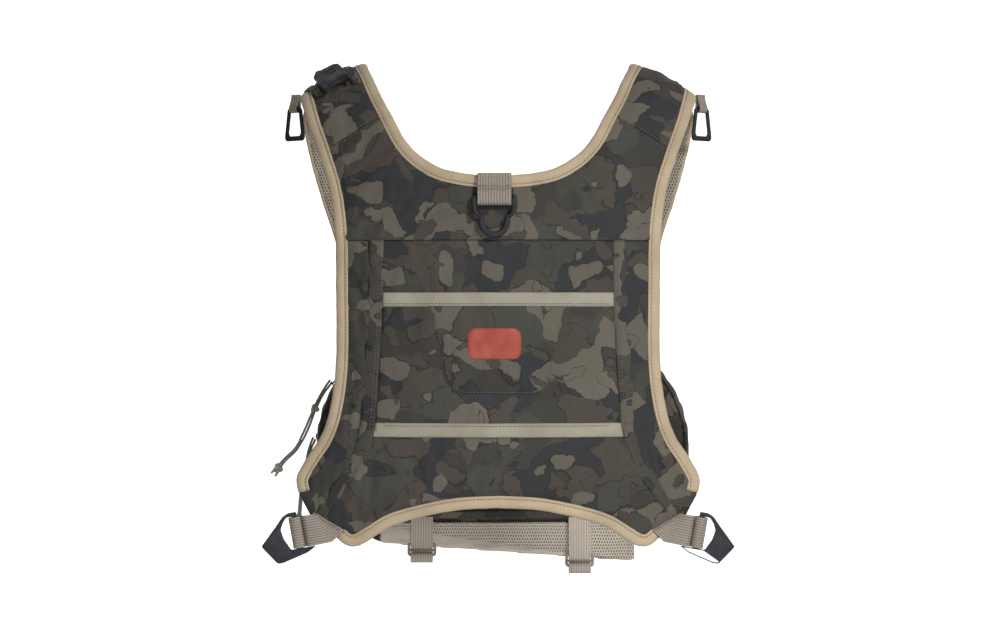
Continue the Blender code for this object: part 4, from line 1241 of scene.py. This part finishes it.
def shoulder_dock():
    """Slotted dock between two stitched cloth tunnels on the left shoulder."""
    centre = np.array([-140, -47]) * MM
    matrix = frame_on_body(*centre, 3.9 * MM) @ Matrix.Rotation(DOCK_TURN, 4, "Z")
    outline = [np.array(p) * MM for p in ((-7, 22), (9, 22), (12.5, 18), (12.5, -27))]
    outline += list(arc((0.5 * MM, -27 * MM), 9.5 * MM, 0, math.pi, 16))
    outline += [np.array(p) * MM for p in ((-12.5, -27), (-12.5, 15))]
    slots = [oblong(6.5 * MM, 2.6 * MM, 1.2 * MM, (3 * MM, y * MM)) for y in (5, 12)]
    plate("dock_plastic", [rounded(outline, 1.2 * MM, 3)] + slots, 3.4 * MM, 0.7 * MM, "black_plastic",
          "back", matrix, ["shoulder_dock"])
    rim = [(-11.5, 14), (-8, 20.5), (-4.5, 20.5), (-3.5, -4), (1, -9), (11.5, -11), (11.5, -16.5),
           (3, -15), (-6, -17.5), (-10.5, -25), (-11.5, -25)]
    plate("dock_ridge", [rounded(np.array(rim) * MM, 1.5 * MM)], 1.8 * MM, 0.6 * MM, "black_plastic",
          "back", matrix @ Matrix.Translation((0, 0, 2.1 * MM)))
    along, across = math.cos(DOCK_TURN), math.sin(DOCK_TURN)
    turn = np.array([[along, across], [-across, along]])
    lines = []
    for word, side in (("outer", -1), ("inner", 1)):
        offset = side * (12.5 * MM + GAP + 3.2 * MM)
        patch = (oblong(6.8 * MM, 47 * MM, 1.5 * MM, (offset, 0)) @ turn) + centre
        cloth(f"dock_cloth_{word}", patch, "camo_cloth", "back", 2.9 * MM, band_shape, 1.2 * MM,
              nodes=[f"dock_patch_{word}"], cell=2.5 * MM, cut=(6.6 + side, 5.4))
        seam_x = offset - side * 1.6 * MM
        edge = np.array([(seam_x, -21 * MM), (seam_x, 21 * MM)])
        flat = resampled(edge, 3 * MM) @ turn + centre
        lines.append(on_body(flat, np.full(len(flat), 3.7 * MM)))
    stitches("dock_stitches", lines, "pale", "back", radius=0.28 * MM)


# --- front half -----------------------------------------------------------------------------------
def tool_rings():
    """A narrow webbing loop just off the outer edge of each front strap, and the ring that swings in it."""
    for side, word in SIDES:
        matrix = Matrix.Translation((side * 179.5 * MM, 44 * MM, -21 * MM))
        matrix = matrix @ Matrix.Rotation(side * math.radians(38), 4, "Z") @ standing(0, 0, 0)
        strap = 1 * MM
        webbing(f"ring_webbing_{word}", loop_rows(matrix, 9 * MM, 4.6 * MM, 13 * MM, strap), "front",
                [f"ring_loop_{word}"], thickness=strap, cells=6)
        outer = [(-6.4, 1.5), (6.4, 1.5), (8.2, -0.2), (11.5, -25), (10, -28), (-10, -28), (-11.5, -25),
                 (-8.2, -0.2)]
        inner = [(-4.9, -1.5), (4.9, -1.5), (7.6, -21), (6.2, -23.6), (-6.2, -23.6), (-7.6, -21)]
        outlines = [rounded(np.array(line) * MM, 1.8 * MM) for line in (outer, inner)]
        plate(f"tool_ring_plastic_{word}", outlines, 2.8 * MM, 1.1 * MM, "black_plastic",
              f"tool_ring_{word}", matrix, [f"tool_ring_{word}"])


def panel_places(mesh, matrix):
    """Texture places of a stuffed bag: flat on its faces, unrolled round its sides."""
    kept = mesh.attributes.new("place", "FLOAT_VECTOR", "CORNER")
    back = matrix.inverted()
    local = [back @ v.co for v in mesh.vertices]
    places = np.zeros((len(mesh.loops), 3))
    for polygon in mesh.polygons:
        facing = abs((back.to_3x3() @ polygon.normal).z)
        for index in polygon.loop_indices:
            p = local[mesh.loops[index].vertex_index]
            if facing > 0.7:
                places[index] = (p.x, p.y, 3.0 * (p.z > 0))
            else:
                places[index] = (math.atan2(p.y, p.x) * 0.11, p.z, 7.0)
    kept.data.foreach_set("vector", places.astype(np.float32).ravel())


SWELL_FRAMES = 20


def swell(obj, pinned, reach, flat_side):
    """Blow the cloth up a little by simulation, then hold each point within reach of its start.

    flat_side is how far the cloth may swell towards the wearer.
    """
    group = obj.vertex_groups.new(name="seams")
    group.add([int(i) for i in np.nonzero(pinned)[0]], 1.0, "REPLACE")
    start = np.array([v.co for v in obj.data.vertices])
    sim = obj.modifiers.new("cloth", "CLOTH")
    settings = sim.settings
    settings.vertex_group_mass = "seams"
    settings.quality = 4
    settings.mass = 0.2
    settings.tension_stiffness = 12
    settings.compression_stiffness = 6
    settings.bending_stiffness = 0.4
    settings.use_pressure = True
    settings.uniform_pressure_force = 4.0
    settings.shrink_min = -0.05
    settings.effector_weights.gravity = 0
    sim.collision_settings.use_collision = False
    sim.point_cache.frame_start = 1
    sim.point_cache.frame_end = SWELL_FRAMES
    for number in range(1, SWELL_FRAMES + 1):
        bpy.context.scene.frame_set(number)
    evaluated = obj.evaluated_get(bpy.context.evaluated_depsgraph_get())
    moved = np.array([v.co for v in evaluated.data.vertices])
    obj.modifiers.remove(sim)
    bpy.context.scene.frame_set(1)
    away = moved - start
    far = np.linalg.norm(away, axis=1, keepdims=True)
    away *= np.minimum(1.0, reach / np.maximum(far, 1e-9))
    if flat_side is not None:
        away[:, 1] = np.maximum(away[:, 1], -flat_side)
    obj.data.vertices.foreach_set("co", (start + away).ravel())
    obj.data.update()


def stuffed(name, outline, depth, round_edge, slot, matrix, nodes, reach=6 * MM,
            voxel=5 * MM, inset=1.0 * MM, flat_side=None, relief=None, look=None):
    """A padded bag or pad: a smaller plate, remeshed, then swollen between its sewn edges.

    relief gives how far the side towards the wearer is then pressed in.
    """
    smaller = offset_outline(outline, inset)
    mesh = plate_mesh(name, [smaller], depth - 2 * inset, round_edge, Matrix.Identity(4))
    source = link_new(name + "_source", mesh)
    remesh = source.modifiers.new("even", "REMESH")
    remesh.mode = "VOXEL"
    remesh.voxel_size = voxel
    bpy.context.view_layer.update()
    even = bpy.data.meshes.new_from_object(source.evaluated_get(bpy.context.evaluated_depsgraph_get()))
    bpy.data.objects.remove(source)
    flat = np.array([v.co for v in even.vertices])
    rim = edge_distance(flat[:, :2], outline) < round_edge + 1.5 * MM
    rim &= np.abs(flat[:, 2]) > depth / 2 - round_edge - 1.5 * MM
    even.transform(matrix)
    panel_places(even, matrix)
    obj = link_new(name, even)
    swell(obj, rim, reach, flat_side)
    if relief:
        places = np.array([v.co for v in even.vertices])
        places[:, 1] += relief(places) * (flat[:, 2] > 0)
        even.vertices.foreach_set("co", places.ravel())
    even.materials.clear()
    even.materials.append(look or MATERIALS[slot])
    smoothed(even)
    obj.modifiers.new("soften", "SUBSURF").render_levels = 1
    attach(obj, "front")
    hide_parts(*nodes)
    return obj


def offset_outline(outline, inset):
    """A closed outline drawn inwards."""
    middle = outline.mean(axis=0)
    run = np.roll(outline, -1, axis=0) - np.roll(outline, 1, axis=0)
    run /= np.linalg.norm(run, axis=1, keepdims=True)
    inward = np.stack([-run[:, 1], run[:, 0]], -1)
    turned = np.sign(np.einsum("ij,ij->i", inward, middle - outline))[:, None]
    return outline + inward * turned * inset


def pad_crease(places):
    """How far the lower pad's cloth is pressed in along its slanting crease."""
    below = PAD_Z + CREASE_RISE - CREASE_SLANT * (places[:, 0] - PAD_X) - places[:, 2]
    return 2.2 * MM * np.exp(-(below / (1.8 * MM)) ** 2) + 0.8 * MM * (1 - ease(below / (4 * MM)))


def pack_bags():
    """The pack's two compartments, its front pocket, and the pads and strip on the wearer's side."""
    stuffed("pack_rear_bag", slanted(stadium(0)), PACK_REAR, 5 * MM, "camo_cloth",
            standing(PACK_X, PACK_Y + PACK_REAR / 2, PACK_Z), ["pack_rear"], flat_side=0.0)
    stuffed("pack_front_bag", stadium(2 * MM), PACK_FRONT, 8 * MM, "camo_cloth",
            standing(PACK_X, PACK_FRONT_Y + PACK_FRONT / 2, PACK_Z), ["pack_front"],
            flat_side=0.0)
    stuffed("front_pocket_bag", oblong(214 * MM, 116 * MM, 18 * MM, count=8), 12 * MM, 5 * MM,
            "camo_cloth", standing(PACK_X, POCKET_Y, -334 * MM), ["front_pocket"], reach=4 * MM)
    stuffed("back_pad_upper", oblong(250 * MM, 128 * MM, 5 * MM), 6 * MM, 2 * MM, "spacer_mesh",
            standing(PAD_X, PAD_Y, -314 * MM), ["pack_pad_upper"], reach=3 * MM, voxel=4 * MM,
            inset=0.5 * MM)
    low_pad = oblong(232 * MM, 29.2 * MM, 5 * MM)
    low_pad[:, 1] -= np.where(low_pad[:, 1] < 0, PAD_SLANT * low_pad[:, 0], 0)
    # The lower pad wears the paler mesh copy: painted light against the shade behind the hem.
    stuffed("back_pad_lower", low_pad, 6 * MM, 2 * MM, "spacer_mesh", standing(PAD_X, PAD_Y, PAD_Z),
            ["pack_pad_lower"], reach=3 * MM, voxel=2.5 * MM, inset=0.3 * MM, flat_side=0.2 * MM,
            relief=pad_crease, look=MATERIALS["folded_mesh_painted_light"])
    stuffed("back_strip", oblong(240 * MM, 10.2 * MM, 3 * MM), 6 * MM, 2 * MM, "camo_cloth",
            standing(PAD_X, PAD_Y, -383.4 * MM), ["pack_trim_strip"], reach=2 * MM,
            voxel=2.5 * MM, inset=0.3 * MM)


def slanted(outline):
    """The pack's outline, its lower edge kept just above the slanting edge of the lower pad."""
    line = -PACK_END - PAD_SLANT * outline[:, 0] + 3 * MM
    return np.column_stack([outline[:, 0], np.maximum(outline[:, 1], line)])


def rim_line(inset, y):
    """The pack's outline as points in space."""
    flat = stadium(inset, 60)
    if y < PACK_Y + PACK_REAR / 2:
        flat = slanted(flat)
    closed = np.concatenate([flat, flat[:1]])
    closed = resampled(closed, 2 * MM)
    return np.stack([closed[:, 0] + PACK_X, np.full(len(closed), y), closed[:, 1] + PACK_Z], -1)


# One pair of zip teeth: share of the coil's half width, and share of the tooth's radius there.
TOOTH = [(-1, 0.5), (-0.85, 1), (-0.1, 1), (0, 0.6), (0.1, 1), (0.85, 1), (1, 0.5)]


def coil(name, line, half, radius, pitch, slot, body, nodes=(), axis=(0, 1, 0)):
    """Zip teeth: short rounded bars across a line."""
    line = resampled(line, pitch)
    axis = np.array(axis, float)
    points, faces = [], []
    for a, b in zip(line, line[1:]):
        run = (b - a) / np.linalg.norm(b - a)
        stations = [(a + axis * half * share, radius * thick) for share, thick in TOOTH]
        first = add_bar(points, faces, stations, run, np.cross(run, axis))
        last = len(points)
        faces.append(tuple(range(first, first + 6)))
        faces.append(tuple(range(last - 6, last)))
    mesh = bpy.data.meshes.new(name)
    mesh.from_pydata([tuple(p) for p in points], [], faces)
    turn_outward(mesh)
    return made_object(name, mesh, slot, body, nodes)


def pack_seams():
    """The zip round the pack, and the piping at its other edges."""
    coil("pack_zip_coil", rim_line(1.2 * MM, ZIP_Y), 2.2 * MM, 0.75 * MM, 2.1 * MM, "zip_coil", "front",
         ["pack_zip_tape"])
    pairs = np.stack([rim_line(2.2 * MM, ZIP_Y - 4.5 * MM), rim_line(2.2 * MM, ZIP_Y + 4.5 * MM)], 1)
    webbing("pack_zip_cloth", pairs, "front", [], thickness=0.6 * MM, cells=4, slot="khaki_tape")
    for word, y, inset in (("rear", PACK_Y + 1.5 * MM, 1.5 * MM), ("front", 186.5 * MM, 5 * MM)):
        mesh = tube_mesh("pack_piping_" + word, rim_line(inset, y)[:-1], 2.6 * MM, closed=True)
        made_object("pack_piping_" + word, mesh, "camo_cloth", "front")
    xs = np.linspace(-71, 79, 80) * MM
    line = np.stack([xs, np.full(80, POCKET_ZIP_Y), np.full(80, POCKET_ZIP_Z)], -1)
    coil("pocket_zip_coil", line, 2.2 * MM, 0.7 * MM, 2.1 * MM, "zip_coil", "front",
         ["front_pocket_zip"], axis=(0, 0, 1))
    pairs = np.stack([line + (0, -0.6 * MM, 5 * MM), line - (0, 0.6 * MM, 5 * MM)], 1)
    webbing("pocket_zip_cloth", pairs, "front", [], thickness=0.6 * MM, cells=6, slot="khaki_tape")


def slider_meshes(matrix):
    """Slider body of two shells with a post between them, and its bail."""
    shells = [plate_mesh("shell", [slider_outline()], 1.1 * MM, 0.4 * MM,
                         matrix @ Matrix.Translation((0, 0, rise * MM))) for rise in (1.0, -1.0)]
    post = plate_mesh("post", [oblong(3 * MM, 4 * MM, 1 * MM)], 2.4 * MM, 0.3 * MM, matrix)
    wire = [matrix @ Vector((3 * MM * math.cos(a), 0, 1.3 * MM + 3 * MM * math.sin(a)))
            for a in (math.pi * i / 14 for i in range(15))]
    return shells + [post, tube_mesh("bail", wire, 1.4 * MM)]


def slider_outline():
    points = [(-5.5, -3.2), (-1, -4), (5.5, -2.4), (5.5, 2.4), (-1, 4), (-5.5, 3.2)]
    return rounded(np.array(points) * MM, 1.4 * MM)


def zip_frame(angle):
    """Frame on the rim of the pack's left end, its Z pointing away from the turning centre."""
    radius = PACK_END - 1.5 * MM + GAP + 1.9 * MM
    centre = Vector((PACK_X - PACK_HALF, ZIP_Y, PACK_Z))
    out = Vector((math.cos(angle), 0, math.sin(angle)))
    along = Vector((-out.z, 0, out.x))
    made = Matrix((along, out.cross(along), out)).transposed().to_4x4()
    made.translation = centre + out * radius
    return made


def sliders():
    """The two sliders of the pack's zip, and the pocket's."""
    for word, angle in (("upper", 147.5), ("lower", 177)):
        mesh = joined("slider_" + word, slider_meshes(zip_frame(math.radians(angle))))
        made_object("slider_" + word, mesh, "slider_metal", "zip_" + word, ["zip_slider_" + word])
    start = PACK_X - 75 * MM + 8 * MM
    place = standing(start, POCKET_ZIP_Y + 2.7 * MM, POCKET_ZIP_Z)
    matrix = place @ Matrix.Rotation(math.pi, 4, "Y")
    mesh = joined("slider_pocket", slider_meshes(matrix))
    made_object("slider_pocket", mesh, "slider_metal", "pocket_slider", ["pocket_slider"])


def knot(name, centre, turn, size, body):
    """An overhand knot pulled tight, as a closed trefoil of cord."""
    line = []
    for i in range(48):
        t = 2 * math.pi * i / 48
        line.append(turn @ Vector((math.sin(t) + 2 * math.sin(2 * t), math.cos(t) - 2 * math.cos(2 * t),
                                   -math.sin(3 * t) * 1.3)) * size / 3 + Vector(centre))
    mesh = tube_mesh(name, line, CORD * 1.35, closed=True)
    return made_object(name, mesh, "khaki_cord", body)


def pull_cords():
    """Each slider's cord, doubled through the bail and knotted twice."""
    tilt = {"upper": Matrix.Rotation(0.9, 3, "Y") @ Matrix.Rotation(math.pi / 2, 3, "X"),
            "lower": Matrix.Rotation(0.2, 3, "Y") @ Matrix.Rotation(math.pi / 2, 3, "X")}
    for word, route in CORD_ROUTES.items():
        for number, at in ((1, 2), (2, -1)):
            size = (3.0 if number == 1 else 3.5) * MM
            centre = np.array(route[at])
            if number == 2:
                centre = centre + (np.array(route[-2]) - centre) * 0.45
            knot(f"cord_knot_{word}_{number}", centre, tilt[word], size, "zip_" + word)
        for strand, sign in (("a", -1), ("b", 1)):
            line = smooth_line(route, 4 * MM, 1.0)
            share = run_of(line) / run_of(line)[-1]
            # Half the distance between the strands: small at the first knot, largest at the tail.
            close = 1.15 * MM
            spread = 1.6 * MM * np.abs(np.cos(np.pi * np.clip(share * 2.2, 0, 1)))
            spread = np.where(share > 0.6, close + 1.6 * MM * ease((share - 0.85) / 0.15), spread)
            spread = np.maximum(spread, close)
            line = line + sign * spread[:, None] * np.array([0.62, 0.55, -0.55])
            curve = tube_curve(f"cord_{word}_{strand}", line, CORD)
            obj = link_new(curve.name, curve)
            curve.materials.append(MATERIALS["khaki_cord"])
            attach(obj, "zip_" + word)
            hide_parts(f"pull_cord_{word}_{strand}")


def lash_straps():
    """Two hanging straps, each folded over the end of a tri-glide and sewn into a fat roll."""
    far = PACK_Y - GAP - 6 * MM - 2.6 * MM
    strap = far - 0.7 * MM
    for word, (x, z) in LASH_ENDS.items():
        line = [(PACK_Y - 7 * MM, -385 * MM), (PACK_Y - 8 * MM, -388 * MM)]
        bottom = z + 1.5 * MM
        line += [(strap, h) for h in np.arange(-393 * MM, bottom, -3 * MM)]
        for i in range(1, 31):
            angle = -math.radians(i * 23)
            radius = LASH_ROLL - 0.7 * MM - 0.075 * MM * max(0, i - 11)
            line.append((far - LASH_ROLL + radius * math.cos(angle), z + radius * math.sin(angle)))
        half = LASH_WIDTH / 2
        rows = [((x - half, y, z), (x + half, y, z)) for y, z in line]
        # The lash webbing's extra lightness is painted light, making up for the shade below the hem.
        webbing(f"lash_webbing_{word}", rows, "front", [f"lash_strap_{word}"],
                look=MATERIALS["lash_webbing"])
        glide = Vector((x, 0, z + LASH_ROLL + 1.9 * MM))
        rim = oblong(26.2 * MM, GLIDE_HEIGHT, 3.5 * MM)
        hole = oblong(20.8 * MM, GLIDE_HEIGHT - 4 * MM, 1.5 * MM)
        back = standing(glide.x, far + 1.2 * MM, glide.z)
        rail = plate_mesh("rail", [rim, hole], 2.2 * MM, 0.7 * MM, back)
        bar = [back @ Vector((side * 11 * MM, 0, 0)) for side in (-1, 1)]
        front = [Vector((p.x, strap - 1.9 * MM, p.z)) for p in bar]
        wire = tube_mesh("bar", [bar[0], front[0], front[1], bar[1]], 2.0 * MM)
        made_object(f"triglide_plastic_{word}", joined("triglide", [rail, wire]), "khaki_plastic",
                    f"triglide_{word}", [f"triglide_{word}"])


def right_tab():
    """Folded webbing tab at the right end of the pack."""
    x = PACK_X + PACK_HALF + PACK_END + 1.3 * MM
    y = PACK_Y + 22 * MM
    rows = [((x, y - 7 * MM, z * MM), (x, y + 7 * MM, z * MM)) for z in np.arange(-334.5, -319, 1.5)]
    webbing("tab_webbing", rows, "front", ["pack_tab_right"], thickness=1.6 * MM, cells=8)


# --- camera, light and stage ----------------------------------------------------------------------
VIEW_WIDTH = 0.82               # the picture's width in metres, this far from the camera
VIEW_DISTANCE = 2.0
EYE = (1.6 * MM, -2.11, -0.207)  # where the camera stands


def make_camera():
    data = bpy.data.cameras.new("camera")
    data.sensor_width = 36
    data.lens = data.sensor_width * VIEW_DISTANCE / VIEW_WIDTH
    bpy.context.scene.camera = link_new("camera", data, EYE, (math.pi / 2, 0, 0))


def area_light(name, place, target, size, power, spread=math.pi):
    data = bpy.data.lights.new(name, "AREA")
    data.shape = "DISK"
    data.size = size
    data.energy = power
    data.spread = spread
    light = link_new(name, data, place)
    light.rotation_euler = (Vector(target) - Vector(place)).to_track_quat("-Z", "Y").to_euler()


def studio():
    """A key light from above right, a weak fill from below, and a floor that curves up into a wall."""
    world = bpy.data.worlds.new("studio")
    world.use_nodes = True
    sky = world.node_tree.nodes["Background"]
    sky.inputs["Color"].default_value = (1, 1, 1, 1)
    sky.inputs["Strength"].default_value = 0.18
    bpy.context.scene.world = world
    bpy.context.scene.view_settings.view_transform = "Standard"
    area_light("key", (0.95, -1.5, 0.70), (0, -0.1, -0.2), 0.5, 25)
    area_light("fill", (0.0, -1.4, -0.55), (0, 0, -0.44), 0.4, 1.2, math.radians(70))
    floor, reach, bend = -0.80, 2.6, 0.8
    profile = [(-5.0, floor), (reach, floor)]
    profile += [(reach + bend * math.sin(a), floor + bend * (1 - math.cos(a)))
                for a in (math.pi / 2 * i / 10 for i in range(1, 11))]
    profile += [(reach + bend, 4.0)]
    rows = np.array([[(-6, y, z), (6, y, z)] for y, z in profile])
    mesh = ring_mesh("backdrop", list(rows), closed=False)
    place_points(mesh, [v.co for v in mesh.vertices])
    g = Graph("backdrop", 0.95)
    g.shader.inputs["Base Color"].default_value = (0.6, 0.6, 0.6, 1)
    g.shader.inputs["Emission Color"].default_value = (1, 1, 1, 1)
    depth = g.split(g.place())[1]
    g.feed(g.shader.inputs["Emission Strength"], g.ramp(depth, 0.9, 2.3, 0.0, 1.0))
    smoothed(mesh)
    mesh.materials.append(g.material)
    link_new("backdrop", mesh, (0, 0, 0))


make_camera()
pull_cords()
studio()
lining()
back_cloth()
shoulder_cloth()
back_trims()
bindings()
back_seams()
neck_ring()
corner_hooks()
shoulder_dock()
tool_rings()
pack_bags()
pack_seams()
sliders()
lash_straps()
right_tab()
